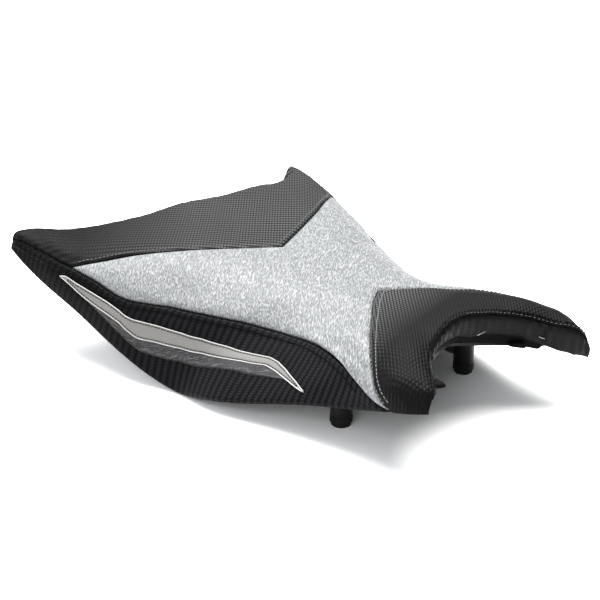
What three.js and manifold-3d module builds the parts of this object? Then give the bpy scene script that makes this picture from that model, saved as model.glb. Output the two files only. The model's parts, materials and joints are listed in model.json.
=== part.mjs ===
// Motorcycle rider seat: moulded pan, foam cushion, sewn cover in panels, and the hardware under it.
// Millimetres. +X to the nose, +Y to the left, +Z up. The origin is on the ground under the middle of the seat.
import * as THREE from 'three';
import { mergeVertices } from 'three/addons/utils/BufferGeometryUtils.js';
import Module from 'manifold-3d';

const wasm = await Module();
wasm.setup();

// ---- driving dimensions ----
const ORIGIN_X = 109.845;       // the post line lies this far in front of the origin
const COVER_T = 1.5;            // cover vinyl with its scrim backing
const SEAM_GAP = 0.35;          // gap between neighbouring cover panels
const FOAM_DEPTH = 3.2;         // foam surface below the outer surface
const PAN_T = 2.6;              // moulded pan wall
const PAN_INSET = 6.5;          // pan rim inside the cover's bottom edge
const FOAM_GAP = 0.5;           // foam to pan
const STRIPE_T = 0.8;           // appliqué stripe
const STRIPE_LIFT = 0.8;        // stripe's back above the side panel
const HEM_W = 13;               // cover turned under the pan
const HEM_T = 1.2;
const POST_X = 0, POST_Y = 74;  // front support posts
const POST_R = 9, POST_BORE_R = 5.2;
const TIP_R = 9.3, TIP_H = 9, TIP_STEP_R = 8.2, TIP_STEM_R = 4.8;
const SLEEVE_R = 4.6, SLEEVE_BORE_R = 3.2, GROMMET_R = 8.2;
const TAB_X = -44, TAB_Y = 58, TAB_Z = 35.4, TAB_T = 2.5, TAB_HOLE_R = 6.5;
const TONGUE_W = 46, TONGUE_T = 2.5, TONGUE_Z = 60;
const BUMPER_R = 10, BUMPER_Z = 42;
const STAPLE_W = 9;

// ---- outer surface: one row per section, from the centreline to the outer edge, left half ----
// rows run from the rear edge (0) to the edge of the tank cut-out (13)
const ROWS = [
  [[-303, 0, 97.5], [-301.3, 23.4, 97], [-299.9, 46.8, 96.2], [-301.5, 70.2, 95.9], [-304, 93.6, 95.9], [-308.5, 116.6, 96.4], [-316.4, 138.5, 98.8], [-324.2, 160.3, 100.9], [-329, 175, 87]],
  [[-281, 0, 96], [-280.8, 23.8, 96], [-281.3, 47.5, 96], [-283, 71.2, 96], [-285.9, 94.8, 96.1], [-290.9, 118, 96.4], [-297.9, 140.6, 98.1], [-305.4, 162.8, 96.4], [-308, 174.7, 77.5]],
  [[-252, 0, 94.6], [-252.4, 23.8, 94.9], [-253.4, 47.6, 95.7], [-254.8, 71.3, 96.7], [-257, 95, 97], [-260.4, 118.5, 95.9], [-265.1, 141.6, 92.9], [-271.3, 163, 85.5], [-278, 171.5, 64.5]],
  [[-222, 0, 94.3], [-221.9, 23.7, 95], [-222.1, 47.4, 96.2], [-223, 71, 97], [-225, 94.6, 96.6], [-227.8, 117.9, 93.1], [-230, 139.6, 84.2], [-235, 157.2, 70.3], [-243, 165, 49.4]],
  [[-190, 0, 93.2], [-189.9, 23.7, 94], [-190.2, 47.4, 95.4], [-191.5, 71.1, 95.9], [-192.8, 94.7, 93.7], [-194.5, 116.7, 85.3], [-196.4, 136.5, 72.4], [-200.3, 151.3, 54.8], [-206, 160, 33.5]],
  [[-160, 0, 92], [-159.9, 23.6, 92.6], [-160.2, 47.1, 93.2], [-161, 70.6, 91.9], [-161.8, 93.3, 85.9], [-162.8, 113.1, 73.3], [-164.9, 131.9, 59.8], [-167.5, 143.5, 39.4], [-170, 153, 18]],
  [[-130, 0, 90], [-130, 23.2, 90.3], [-130, 46.3, 89.7], [-130, 69.1, 85.8], [-130, 90.2, 76.6], [-130, 109.9, 64.5], [-131.1, 122.9, 45.5], [-132.5, 132.4, 24.4], [-134, 141, 3]],
  [[-98, 0, 88.2], [-98, 21.4, 88.2], [-98, 42.8, 87], [-98, 63.7, 82.5], [-98, 82.3, 72.2], [-98, 98.5, 58.2], [-98, 113, 42.4], [-98, 127.1, 26.3], [-98, 141, 10]],
  [[-66, 0, 87], [-66.1, 19.7, 87], [-65.6, 39.3, 85.9], [-64.6, 58.4, 81.3], [-63.5, 74.6, 70.5], [-61.4, 89, 57.3], [-61.8, 103.7, 44.2], [-62.8, 118.4, 31.1], [-64, 133, 18]],
  [[-38, 0, 86.4], [-37.5, 18.2, 86.6], [-36.5, 36.3, 85.9], [-34.5, 53.6, 81.2], [-31.4, 68.5, 72.7], [-28.8, 83.6, 63], [-29.6, 96.5, 50.3], [-31.6, 109.5, 37.7], [-34, 122.5, 25.2]],
  [[-10, 0, 86.3], [-9.1, 16.8, 86.6], [-7.4, 33.5, 86.7], [-4.9, 49.6, 82.5], [-0.7, 65.1, 78.9], [3.7, 80.3, 72.6], [6.5, 92.5, 61.3], [5.7, 102.9, 48], [4, 112.5, 34.2]],
  [[15, 0, 87], [16.6, 15.7, 87.3], [20.4, 31.1, 87.5], [25.2, 46.3, 87.6], [31.2, 61.7, 86.5], [37.3, 75.9, 81], [41.2, 89.2, 71.8], [42.9, 97.9, 57.4], [44, 105.5, 43.5]],
  [[37, 0, 88.7], [38.7, 15.4, 88.7], [43.3, 30.2, 88.2], [50.1, 44.2, 87.5], [58.2, 57.7, 86.7], [66.7, 71.8, 85.1], [72.3, 86.4, 78.8], [76, 100, 69.9], [80, 104, 52.2]],
  [[57, 0, 91.2], [58.7, 14.6, 89.9], [62.6, 28.7, 87.5], [68.2, 42.2, 84.7], [75.8, 54.5, 81.5], [85.5, 65.1, 77.8], [96.9, 74.2, 74.9], [106.8, 85.5, 71.6], [109.5, 93.7, 58.6]]
];
const NR = ROWS.length, NC = ROWS[0].length, TM = NC - 1;
// seam and stripe lines on that surface, as [row, column]
const SEAM = [[0, 7.72], [0.464, 7.485], [1.031, 7.298], [1.576, 7.057], [1.968, 6.912], [2.346, 6.741], [2.709, 6.648], [3.153, 6.513], [3.614, 6.46], [3.978, 6.318], [4.213, 6.19], [4.654, 5.849], [5.236, 5.344], [5.921, 4.965], [6.463, 4.78], [6.974, 4.637], [7.444, 4.577], [8, 4.543], [8.682, 4.678], [9.278, 4.961], [9.9, 5.476], [10.489, 6.18], [11.001, 6.944], [11.72, 7.8], [12.05, 8]];      // top of the side panel
const CHEVRON = [[5.145, 0], [4.969, 0.416], [4.752, 0.934], [4.419, 1.799], [4.164, 2.471], [3.782, 3.447], [3.357, 4.36], [3.078, 4.963], [2.793, 5.571], [2.535, 6.171], [2.346, 6.741]];   // rear panel to centre panel
const NOSE = [[9.178, 0], [9.298, 0.348], [9.714, 1.336], [10.157, 2.379], [10.52, 3.538], [10.74, 4.481], [10.945, 5.315], [11.183, 6.095], [11.432, 6.784], [11.619, 7.272], [11.834, 7.699], [12.05, 8]];      // centre panel to nose panel
const LIGHT_UP = [[2.269, 7.302], [2.409, 7.146], [2.713, 7.095], [3.16, 6.972], [3.618, 6.844], [4.041, 6.779], [4.242, 6.788], [4.495, 6.707], [4.825, 6.505], [5.209, 6.26], [5.707, 5.98], [6.25, 5.794], [6.979, 5.776], [7.35, 5.824], [7.891, 5.814], [8.187, 5.827], [8.513, 6.004], [8.882, 6.35], [9.407, 6.984], [9.774, 7.505]];
const LIGHT_LO = [[2.271, 7.308], [2.553, 7.299], [2.936, 7.326], [3.305, 7.294], [3.785, 7.2], [4.202, 7.135], [4.405, 7.176], [4.732, 7.165], [4.869, 7.105], [5.233, 6.833], [5.845, 6.461], [6.408, 6.3], [7.017, 6.285], [7.56, 6.238], [7.781, 6.244], [8.206, 6.222], [8.629, 6.481], [9.102, 6.896], [9.516, 7.314], [9.758, 7.539]];
const DARK_LO = [[2.932, 7.341], [3.62, 7.393], [4.158, 7.439], [4.673, 7.478], [4.976, 7.475], [5.217, 7.328], [5.953, 6.89], [6.89, 6.752], [7.401, 6.696], [7.984, 6.751], [8.622, 6.819], [8.9, 6.826]];
// height of the pan's underside on the centreline, one per row
const PAN_Z = [76, 74, 70, 65, 60, 55, 51, 49, 49, 51, 54, 57, 60, 63];

// natural cubic spline through evenly spaced knots, as weights on the knots
function splineMatrix(n) {
  const A = [], B = [];
  for (let i = 0; i < n; i++) {
    A.push(new Array(n).fill(0)); B.push(new Array(n).fill(0));
    if (i === 0 || i === n - 1) { A[i][i] = 1; continue; }
    A[i][i - 1] = 1; A[i][i] = 4; A[i][i + 1] = 1;
    B[i][i - 1] = 6; B[i][i] = -12; B[i][i + 1] = 6;
  }
  for (let i = 0; i < n; i++) {          // Gauss-Jordan
    const p = A[i][i];
    for (let k = 0; k < n; k++) { A[i][k] /= p; B[i][k] /= p; }
    for (let r = 0; r < n; r++) {
      if (r === i || A[r][i] === 0) continue;
      const f = A[r][i];
      for (let k = 0; k < n; k++) { A[r][k] -= f * A[i][k]; B[r][k] -= f * B[i][k]; }
    }
  }
  return B;
}
const DR = splineMatrix(NR), DC = splineMatrix(2 * TM + 1);
function weights(x, n, D) {
  const w = new Array(n).fill(0);
  x = Math.min(Math.max(x, 0), n - 1);
  const i = Math.min(Math.floor(x), n - 2), f = x - i;
  w[i] += 1 - f; w[i + 1] += f;
  const a = ((1 - f) ** 3 - (1 - f)) / 6, b = (f ** 3 - f) / 6;
  for (let k = 0; k < n; k++) w[k] += a * D[i][k] + b * D[i + 1][k];
  return w;
}
const FULL = ROWS.map(r => [...r.slice(1).reverse().map(p => [p[0], -p[1], p[2]]), ...r]);
function surf(s, t) {                    // s 0..13, t -8..8 (left positive)
  const ws = weights(s, NR, DR), wt = weights(t + TM, 2 * TM + 1, DC);
  const p = [0, 0, 0];
  for (let i = 0; i < NR; i++) {
    if (ws[i] === 0) continue;
    for (let j = 0; j < 2 * TM + 1; j++) {
      const w = ws[i] * wt[j], q = FULL[i][j];
      p[0] += w * q[0]; p[1] += w * q[1]; p[2] += w * q[2];
    }
  }
  return p;
}
const sub = (a, b) => [a[0] - b[0], a[1] - b[1], a[2] - b[2]];
const mad = (a, n, k) => [a[0] + n[0] * k, a[1] + n[1] * k, a[2] + n[2] * k];
const unit = a => { const l = Math.hypot(...a) || 1; return a.map(v => v / l); };
const cross = (a, b) => [a[1] * b[2] - a[2] * b[1], a[2] * b[0] - a[0] * b[2], a[0] * b[1] - a[1] * b[0]];
const lerp = (a, b, f) => a + (b - a) * f;
function normal(s, t) {                  // outward
  const e = 0.03, s0 = Math.max(s - e, 0), s1 = Math.min(s + e, NR - 1);
  const t0 = Math.max(t - e, -TM), t1 = Math.min(t + e, TM);
  return unit(cross(sub(surf(s1, t), surf(s0, t)), sub(surf(s, t1), surf(s, t0))));
}
const off = (s, t, d) => mad(surf(s, t), normal(s, t), d);

// smooth curve through table points, by fraction of its length in the table's plane
function curve(T) {
  const L = [0];
  for (let i = 1; i < T.length; i++) L.push(L[i - 1] + Math.hypot(T[i][0] - T[i - 1][0], T[i][1] - T[i - 1][1]));
  return f => {
    const l = Math.min(Math.max(f, 0), 1) * L[L.length - 1];
    let i = 0; while (i < T.length - 2 && L[i + 1] < l) i++;
    const u = (l - L[i]) / (L[i + 1] - L[i]);
    const a = T[Math.max(i - 1, 0)], b = T[i], c = T[i + 1], d = T[Math.min(i + 2, T.length - 1)];
    return [0, 1].map(k => 0.5 * (2 * b[k] + (c[k] - a[k]) * u + (2 * a[k] - 5 * b[k] + 4 * c[k] - d[k]) * u * u
      + (3 * b[k] - a[k] - 3 * c[k] + d[k]) * u ** 3));
  };
}
function part_of(T, s0, s1) {            // the stretch of a table between two rows
  const c = curve(T), out = [];
  for (let i = 0; i <= 60; i++) { const p = c(i / 60); if (p[0] >= s0 - 1e-6 && p[0] <= s1 + 1e-6) out.push(p); }
  return out;
}
const line = (a, b) => f => [lerp(a[0], b[0], f), lerp(a[1], b[1], f)];
// four-sided patch in the surface's own coordinates; a: v=0, b: v=1 (along u); c: u=0, d: u=1 (along v)
function coons(a, b, c, d) {
  return (u, v) => [0, 1].map(k =>
    (1 - v) * a(u)[k] + v * b(u)[k] + (1 - u) * c(v)[k] + u * d(v)[k]
    - ((1 - u) * (1 - v) * a(0)[k] + u * (1 - v) * a(1)[k] + (1 - u) * v * b(0)[k] + u * v * b(1)[k]));
}

// ---- closed bodies from two sheets of points ----
function shell(top, bot, nu, nv) {       // top(i, j), bot(i, j) give points; i 0..nu, j 0..nv
  const P = [], id = (k, i, j) => k * (nu + 1) * (nv + 1) + i * (nv + 1) + j;
  for (const f of [top, bot]) for (let i = 0; i <= nu; i++) for (let j = 0; j <= nv; j++) P.push(...f(i, j));
  const F = [], quad = (a, b, c, d) => F.push(a, b, c, a, c, d);
  for (let i = 0; i < nu; i++) for (let j = 0; j < nv; j++) {
    quad(id(0, i, j), id(0, i + 1, j), id(0, i + 1, j + 1), id(0, i, j + 1));
    quad(id(1, i, j), id(1, i, j + 1), id(1, i + 1, j + 1), id(1, i + 1, j));
  }
  for (let i = 0; i < nu; i++) {
    quad(id(0, i, 0), id(1, i, 0), id(1, i + 1, 0), id(0, i + 1, 0));
    quad(id(0, i, nv), id(0, i + 1, nv), id(1, i + 1, nv), id(1, i, nv));
  }
  for (let j = 0; j < nv; j++) {
    quad(id(0, 0, j), id(0, 0, j + 1), id(1, 0, j + 1), id(1, 0, j));
    quad(id(0, nu, j), id(1, nu, j), id(1, nu, j + 1), id(0, nu, j + 1));
  }
  const g = new THREE.BufferGeometry();
  g.setAttribute('position', new THREE.Float32BufferAttribute(P, 3));
  g.setIndex(F);
  let vol = 0;
  for (let k = 0; k < F.length; k += 3) {
    const [a, b, c] = [0, 1, 2].map(m => P.slice(F[k + m] * 3, F[k + m] * 3 + 3));
    const n = cross(b, c); vol += a[0] * n[0] + a[1] * n[1] + a[2] * n[2];
  }
  if (vol < 0) { for (let k = 0; k < F.length; k += 3) [F[k + 1], F[k + 2]] = [F[k + 2], F[k + 1]]; g.setIndex(F); }
  return g;
}
function solid(g) {                      // closed geometry to a manifold
  g = g.index ? g.clone() : g.clone();
  g.deleteAttribute('normal'); g.deleteAttribute('uv');
  g = mergeVertices(g, 1e-4);
  return new wasm.Manifold(new wasm.Mesh({
    numProp: 3, vertProperties: new Float32Array(g.attributes.position.array), triVerts: new Uint32Array(g.index.array) }));
}
function geometry(m) {
  const k = m.getMesh(), g = new THREE.BufferGeometry();
  g.setAttribute('position', new THREE.Float32BufferAttribute(k.vertProperties, 3));
  g.setIndex(Array.from(k.triVerts));
  return g;
}
const at = (g, x, y, z) => g.clone().translate(x, y, z);
const rod = (r, z0, z1, seg = 20) => new THREE.CylinderGeometry(r, r, z1 - z0, seg).rotateX(Math.PI / 2).translate(0, 0, (z0 + z1) / 2);
const box = (x0, x1, y0, y1, z0, z1) => new THREE.BoxGeometry(x1 - x0, y1 - y0, z1 - z0).translate((x0 + x1) / 2, (y0 + y1) / 2, (z0 + z1) / 2);

const group = new THREE.Group();
const body = new THREE.Group(); body.position.x = ORIGIN_X; group.add(body);
const mat = (color, roughness, metalness = 0) => new THREE.MeshStandardMaterial({ color, roughness, metalness });
const M = {
  carbon: mat(0x3a3b3d, 0.5), silver: mat(0xc4c9cc, 0.45), twill: mat(0x1b1c1f, 0.45), light: mat(0xb9b7b2, 0.4),
  dark: mat(0x6b6c6e, 0.55), lining: mat(0x1a1a1c, 0.7), foam: mat(0xd8c9a0, 0.95), pan: mat(0x17181a, 0.6),
  rubber: mat(0x101112, 0.85), steel: mat(0x8d9196, 0.35, 1), zinc: mat(0xb5b9bd, 0.3, 1),
};
function add(name, g, m) { const k = new THREE.Mesh(g, m); k.name = name; body.add(k); return k; }

// ---- cover panels: both halves from one patch ----
function coverPanel(patch, nu, nv, gu, gv) {   // u centre to side (nu each side), v rear to front
  const pt = (i, j, d) => {
    const m = i - nu, u = Math.abs(m) / nu, v = j / nv;
    const uu = u * (1 - gu), vv = lerp(gv, 1 - gv, v);
    const [s, t] = patch(uu, vv);
    return off(s, m < 0 ? -t : t, d);
  };
  return shell((i, j) => pt(i, j, 0), (i, j) => pt(i, j, -COVER_T), 2 * nu, nv);
}
const cSeam = curve(SEAM), cChev = curve(CHEVRON), cNose = curve(NOSE);
const S_CH = CHEVRON[CHEVRON.length - 1][0];
const seamRear = curve(part_of(SEAM, 0, S_CH)), seamFront = curve(part_of(SEAM, S_CH, 12.05));
const A_CH = CHEVRON[0][0], A_N = NOSE[0][0], END = SEAM[SEAM.length - 1];
add('cover_rear_panel', coverPanel(coons(line([0, 0], SEAM[0]), cChev, line([0, 0], [A_CH, 0]), seamRear), 10, 8, 0.004, 0.006), M.carbon);
add('cover_centre_panel', coverPanel(coons(cChev, cNose, line([A_CH, 0], [A_N, 0]), seamFront), 8, 15, 0.006, 0.004), M.silver);
add('cover_nose_panel', coverPanel(coons(cNose, line([13, 0], [13, TM]), line([A_N, 0], [13, 0]), line(END, [13, TM])), 9, 7, 0.012, 0.008), M.carbon);

// side panel below the seam
function sideSeam(s) {                   // column of the seam at a row
  let lo = 0, hi = 1;
  for (let k = 0; k < 40; k++) { const m = (lo + hi) / 2; if (cSeam(m)[0] < s) lo = m; else hi = m; }
  return cSeam(lo)[1];
}
for (const [side, sg] of [['left', 1], ['right', -1]]) {
  const nu = 26, nv = 6;
  const pt = (i, j, d) => {
    const s = lerp(0.02, 11.75, i / nu), t0 = sideSeam(s), w = 1 / Math.max(8 - t0, 0.2);
    const t = lerp(t0 + 0.045, TM - 0.03, j / nv);
    return off(s, sg * t, d);
  };
  add('cover_side_panel_' + side, shell((i, j) => pt(i, j, 0), (i, j) => pt(i, j, -COVER_T), nu, nv), M.twill);
}

// stripes sewn on the side panel
const lu = curve(LIGHT_UP), ll = curve(LIGHT_LO), dl = curve(DARK_LO);
function stripe(up, lo, n, f0, f1, g0, g1, sg, lift) {
  const pt = (i, j, d) => {
    const f = lerp(f0, f1, i / n), a = up(f), b = lo(f), v = lerp(g0, g1, j / 2);
    return off(lerp(a[0], b[0], v), sg * lerp(a[1], b[1], v), d);
  };
  return shell((i, j) => pt(i, j, lift + STRIPE_T), (i, j) => pt(i, j, lift), n, 2);
}
const llSub = f => ll(lerp(0.18, 0.89, f));
for (const [side, sg] of [['left', 1], ['right', -1]]) {
  add('stripe_light_' + side, stripe(lu, ll, 24, 0.03, 0.985, 0, 0.93, sg, STRIPE_LIFT), M.light);
  add('stripe_dark_' + side, stripe(llSub, dl, 18, 0.2, 0.97, 0.2, 1, sg, STRIPE_LIFT), M.dark);
}

// ---- pan and foam ----
function panZ(s) { const w = weights(s, NR, DR); return PAN_Z.reduce((a, z, i) => a + z * w[i], 0); }
function panPoint(s, t, dz) {
  const e = surf(s, Math.sign(t || 1) * TM), p = surf(s, t), ye = Math.abs(e[1]);
  const k = 1 - PAN_INSET / ye, r = Math.min(Math.abs(p[1]) / ye, 1);
  const bump = Math.min(Math.max((s - 9) / 3, 0), 1) * 6 * 4 * r * (1 - r);
  const z = lerp(panZ(s), e[2] + 0.5, r ** 1.6) - bump;
  return [p[0], p[1] * k, z + dz];
}
const NU = 17, NV = 18, gridS = i => lerp(0.42, 12.35, i / NU), gridT = j => lerp(-TM, TM, j / NV);
const panTop = (i, j) => panPoint(gridS(i), gridT(j), PAN_T);
const panBot = (i, j) => panPoint(gridS(i), gridT(j), 0);
add('seat_pan', shell(panTop, panBot, NU, NV), M.pan);
const ft = j => lerp(-6.9, 6.9, j / NV), fs = i => lerp(0.44, 12.3, i / NU);
const foamDepth = (s, t) => FOAM_DEPTH + 3 * Math.max(0, 1 - s / 2.5) * Math.min(Math.max((Math.abs(t) - 5) / 2, 0), 1)
  + 2.2 * Math.min(Math.max((s - 11) / 1.4, 0), 1) * Math.min(Math.max((Math.abs(t) - 3) / 2, 0), 1);
add('foam_cushion', shell(
  (i, j) => { const p = off(fs(i), ft(j), -foamDepth(fs(i), ft(j))), b = panPoint(fs(i), ft(j), PAN_T + FOAM_GAP); return [p[0], p[1], Math.max(p[2], b[2] + 0.5)]; },
  (i, j) => panPoint(fs(i), ft(j), PAN_T + FOAM_GAP), NU, NV), M.foam);
// everything above the pan's underside, for trimming what hangs below it
const abovePan = solid(shell((i, j) => mad(panBot(i, j), [0, 0, 1], 80), (i, j) => mad(panBot(i, j), [0, 0, 1], -0.3), NU, NV));

// ---- cover edges: turned-down skirts and turned-under hems ----
const skirtH = t => { const a = Math.abs(t) / TM; return lerp(19, 21, Math.min(a * 2, 1)) * (1 - Math.max(a - 0.62, 0) / 0.38 * 0.86); };
add('cover_nose_skirt', shell(...[0, -1].map(k => (i, j) => {
  const t = lerp(-7.1, 7.1, i / 26), v = j / 2, e = surf(13, t), n = normal(13, t), b = surf(12.9, t);
  const h = unit([e[0] - b[0], e[1] - b[1], 0]);
  return [e[0] + h[0] * (k * HEM_T - 0.4 - v * 1.5), e[1] + h[1] * (k * HEM_T - 0.4 - v * 1.5), e[2] - (COVER_T + 1.2) / Math.max(n[2], 0.5) - v * skirtH(t)];
}), 26, 2), M.lining);
add('cover_rear_skirt', shell(...[0, 1].map(k => (i, j) => {
  const t = lerp(-6.6, 6.6, i / 26), v = j / 2, e = off(0, t, -COVER_T - 0.5), q = off(0.1, t, -COVER_T - 0.5);
  const h = unit([q[0] - e[0], q[1] - e[1], 0]), zb = 74 + 12 * (Math.abs(e[1]) / 165) ** 2;
  return [e[0] + h[0] * (k * HEM_T + v * 1.5), e[1] + h[1] * (k * HEM_T + v * 1.5), lerp(Math.min(e[2], q[2]) - 0.3, Math.min(zb, e[2] - 3), v)];
}), 26, 2), M.lining);
for (const [side, sg] of [['left', 1], ['right', -1]]) {
  add('cover_hem_' + side, shell(...[0, -1].map(k => (i, j) => {
    const s = lerp(0.1, 12.6, i / 24), v = j / 2, e = surf(s, sg * TM);
    const q = panPoint(s, sg * TM, 0), d = unit([0, -sg, 0]);
    const p = panPoint(s, sg * 7.0, 0), u = unit(sub(p, q));
    const b = off(s, sg * TM, -COVER_T), o = [b[0], e[1] - sg * 0.8, Math.min(e[2], b[2]) - 0.55];
    const w = v * HEM_W, a = v === 0 ? o : mad([q[0], q[1] + sg * PAN_INSET * (1 - Math.min(w / 4, 1)), Math.min(q[2] - 2.1, o[2])], u, Math.max(w - 4, 0));
    return [a[0], a[1], a[2] + k * HEM_T];
  }), 24, 2), M.lining);
}

// ---- hardware under the pan ----
const trimmed = g => geometry(solid(g).subtract(abovePan));
for (const [side, sg] of [['left', 1], ['right', -1]]) {
  // hollow moulded post with ribs at its root
  let post = solid(at(rod(POST_R, TIP_H + 0.3, 70, 24), POST_X, sg * POST_Y, 0));
  post = post.add(solid(box(POST_X - 22, POST_X + 22, sg * POST_Y - 1.5, sg * POST_Y + 1.5, 34, 70)));
  post = post.add(solid(box(POST_X - 1.5, POST_X + 1.5, sg * POST_Y - 16, sg * POST_Y + 16, 37, 70)));
  post = post.subtract(solid(at(rod(POST_BORE_R, 0, 24, 24), POST_X, sg * POST_Y, 0))).subtract(abovePan);
  add('support_post_' + side, geometry(post), M.pan);
  const tip = new THREE.LatheGeometry([[0, 0], [TIP_STEP_R - 0.8, 0], [TIP_STEP_R, 0.8], [TIP_STEP_R, 3.2], [TIP_R, 3.8],
    [TIP_R, TIP_H], [TIP_STEM_R, TIP_H], [TIP_STEM_R, 20], [TIP_STEM_R - 1, 21], [0, 21]].map(p => new THREE.Vector2(...p)), 18).rotateX(Math.PI / 2);
  add('rubber_tip_' + side, geometry(solid(at(tip, POST_X, sg * POST_Y, 0))), M.rubber);
}

// front mounting tabs, guessed (hidden in the photo): a steel tab behind each post with a rubber grommet and a steel sleeve for the bolt
for (const [side, sg] of [['left', 1], ['right', -1]]) {
  const y0 = sg * TAB_Y, lug = new THREE.Shape();      // lug along y, its round end towards the centreline
  lug.moveTo(-18, 24); lug.lineTo(-18, 14); lug.lineTo(-10, 8); lug.lineTo(-10, 0); lug.absarc(0, 0, 10, Math.PI, 2 * Math.PI, false); lug.lineTo(6, 24); lug.closePath();
  const plate = new THREE.ExtrudeGeometry(lug, { depth: TAB_T, bevelEnabled: false, curveSegments: 14 });
  if (sg < 0) {                        // mirrored across the centreline
    plate.scale(1, -1, 1);
    const k = plate.index ? plate.index.array : null, p = plate.attributes.position;
    if (!k) for (let i = 0; i < p.count; i += 3) for (const c of [0, 1, 2]) {
      const a = p.getComponent(i + 1, c); p.setComponent(i + 1, c, p.getComponent(i + 2, c)); p.setComponent(i + 2, c, a);
    }
  }
  let tab = solid(at(plate, TAB_X, y0, TAB_Z));
  tab = tab.add(solid(at(box(-17, -8, 15, 23, 0, 30), TAB_X, sg > 0 ? TAB_Y : -TAB_Y - 38, TAB_Z)));
  tab = tab.subtract(solid(at(rod(TAB_HOLE_R, -5, 10, 20), TAB_X, y0, TAB_Z))).subtract(abovePan);
  add('front_mount_tab_' + side, geometry(tab), M.steel);
  const ring = (ri, ro, h, seg, m = 0) => new THREE.LatheGeometry([[ri, -h], [ro, -h], [ro, -m], [TAB_HOLE_R - 0.3, -m], [TAB_HOLE_R - 0.3, m], [ro, m], [ro, h], [ri, h], [ri, -h]]
    .map(p => new THREE.Vector2(...p)), seg).rotateX(Math.PI / 2);
  add('grommet_' + side, geometry(solid(at(ring(SLEEVE_R + 0.3, GROMMET_R, 2.6, 20, TAB_T / 2 + 0.3), TAB_X, y0, TAB_Z + TAB_T / 2))), M.rubber);
  const sl = new THREE.LatheGeometry([[SLEEVE_BORE_R, -3.6], [GROMMET_R - 0.6, -3.6], [GROMMET_R - 0.6, -2.9], [SLEEVE_R, -2.9], [SLEEVE_R, 3], [SLEEVE_BORE_R, 3], [SLEEVE_BORE_R, -3.6]]
    .map(p => new THREE.Vector2(...p)), 20).rotateX(Math.PI / 2);
  add('bolt_sleeve_' + side, geometry(solid(at(sl, TAB_X, y0, TAB_Z + TAB_T / 2))), M.zinc);
}
// rear tongue: a bent steel plate riveted under the pan, which slides under the frame's crossbar
{
  const z0 = TONGUE_Z, w = TONGUE_W / 2;
  let tongue = solid(box(-268, -222, -w, w, z0, z0 + TONGUE_T));
  tongue = tongue.add(solid(box(-224, -221, -w, w, z0, z0 + 30)));
  tongue = tongue.add(solid(box(-300, -266, -w + 8, w - 8, z0 - 5, z0 - 5 + TONGUE_T))).add(solid(box(-269, -266, -w + 8, w - 8, z0 - 5, z0 + TONGUE_T)));
  tongue = tongue.subtract(solid(at(rod(2.6, 0, 20, 20), -258, 14, z0 - 8))).subtract(solid(at(rod(2.6, 0, 20, 20), -258, -14, z0 - 8)));
  add('rear_tongue', geometry(tongue.subtract(abovePan)), M.steel);
  for (const [side, sg] of [['left', 1], ['right', -1]]) {
    let rivet = solid(at(rod(2.3, 0, 14, 20), -258, sg * 14, z0 - 1)).add(solid(at(rod(4.6, 0, 1.2, 20), -258, sg * 14, z0 - 1.5)));
    add('tongue_rivet_' + side, geometry(rivet.subtract(abovePan)), M.zinc);
  }
}
// rubber buffers under the back of the pan
for (const [side, sg] of [['left', 1], ['right', -1]]) {
  const b = solid(at(rod(BUMPER_R, 0, 60, 28), -205, sg * 80, BUMPER_Z)).subtract(abovePan);
  add('rear_buffer_' + side, geometry(b), M.rubber);
}
// staples that hold the cover's edges to the pan
let count = 0;
function staple(p, dir, n) {
  const x = unit(dir), z = unit(n), y = cross(z, x), m = new THREE.Matrix4().makeBasis(new THREE.Vector3(...x), new THREE.Vector3(...y), new THREE.Vector3(...z)).setPosition(...p);
  const g = new THREE.BoxGeometry(STAPLE_W, 1.1, 0.6).applyMatrix4(m);
  count++; add('staple_' + String(count).padStart(2, '0'), g, M.zinc);
}
for (const sg of [1, -1]) for (const s of [1.5, 3.5, 5.5, 7.5, 9.5, 11.5]) {
  const hem = w => { const q = panPoint(s, sg * TM, 0), u = unit(sub(panPoint(s, sg * 7.0, 0), q)); return mad(q, u, w); };
  const a = hem(5), q0 = panPoint(s - 0.2, sg * TM, 0), q1 = panPoint(s + 0.2, sg * TM, 0), d = sub(q1, q0), u = sub(hem(6), hem(4));
  let n = unit(cross(d, u)); if (n[2] > 0) n = n.map(v => -v);
  staple(mad(a, [0, 0, 1], -3.5 - HEM_T), d, n);
}
export default group;
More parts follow.
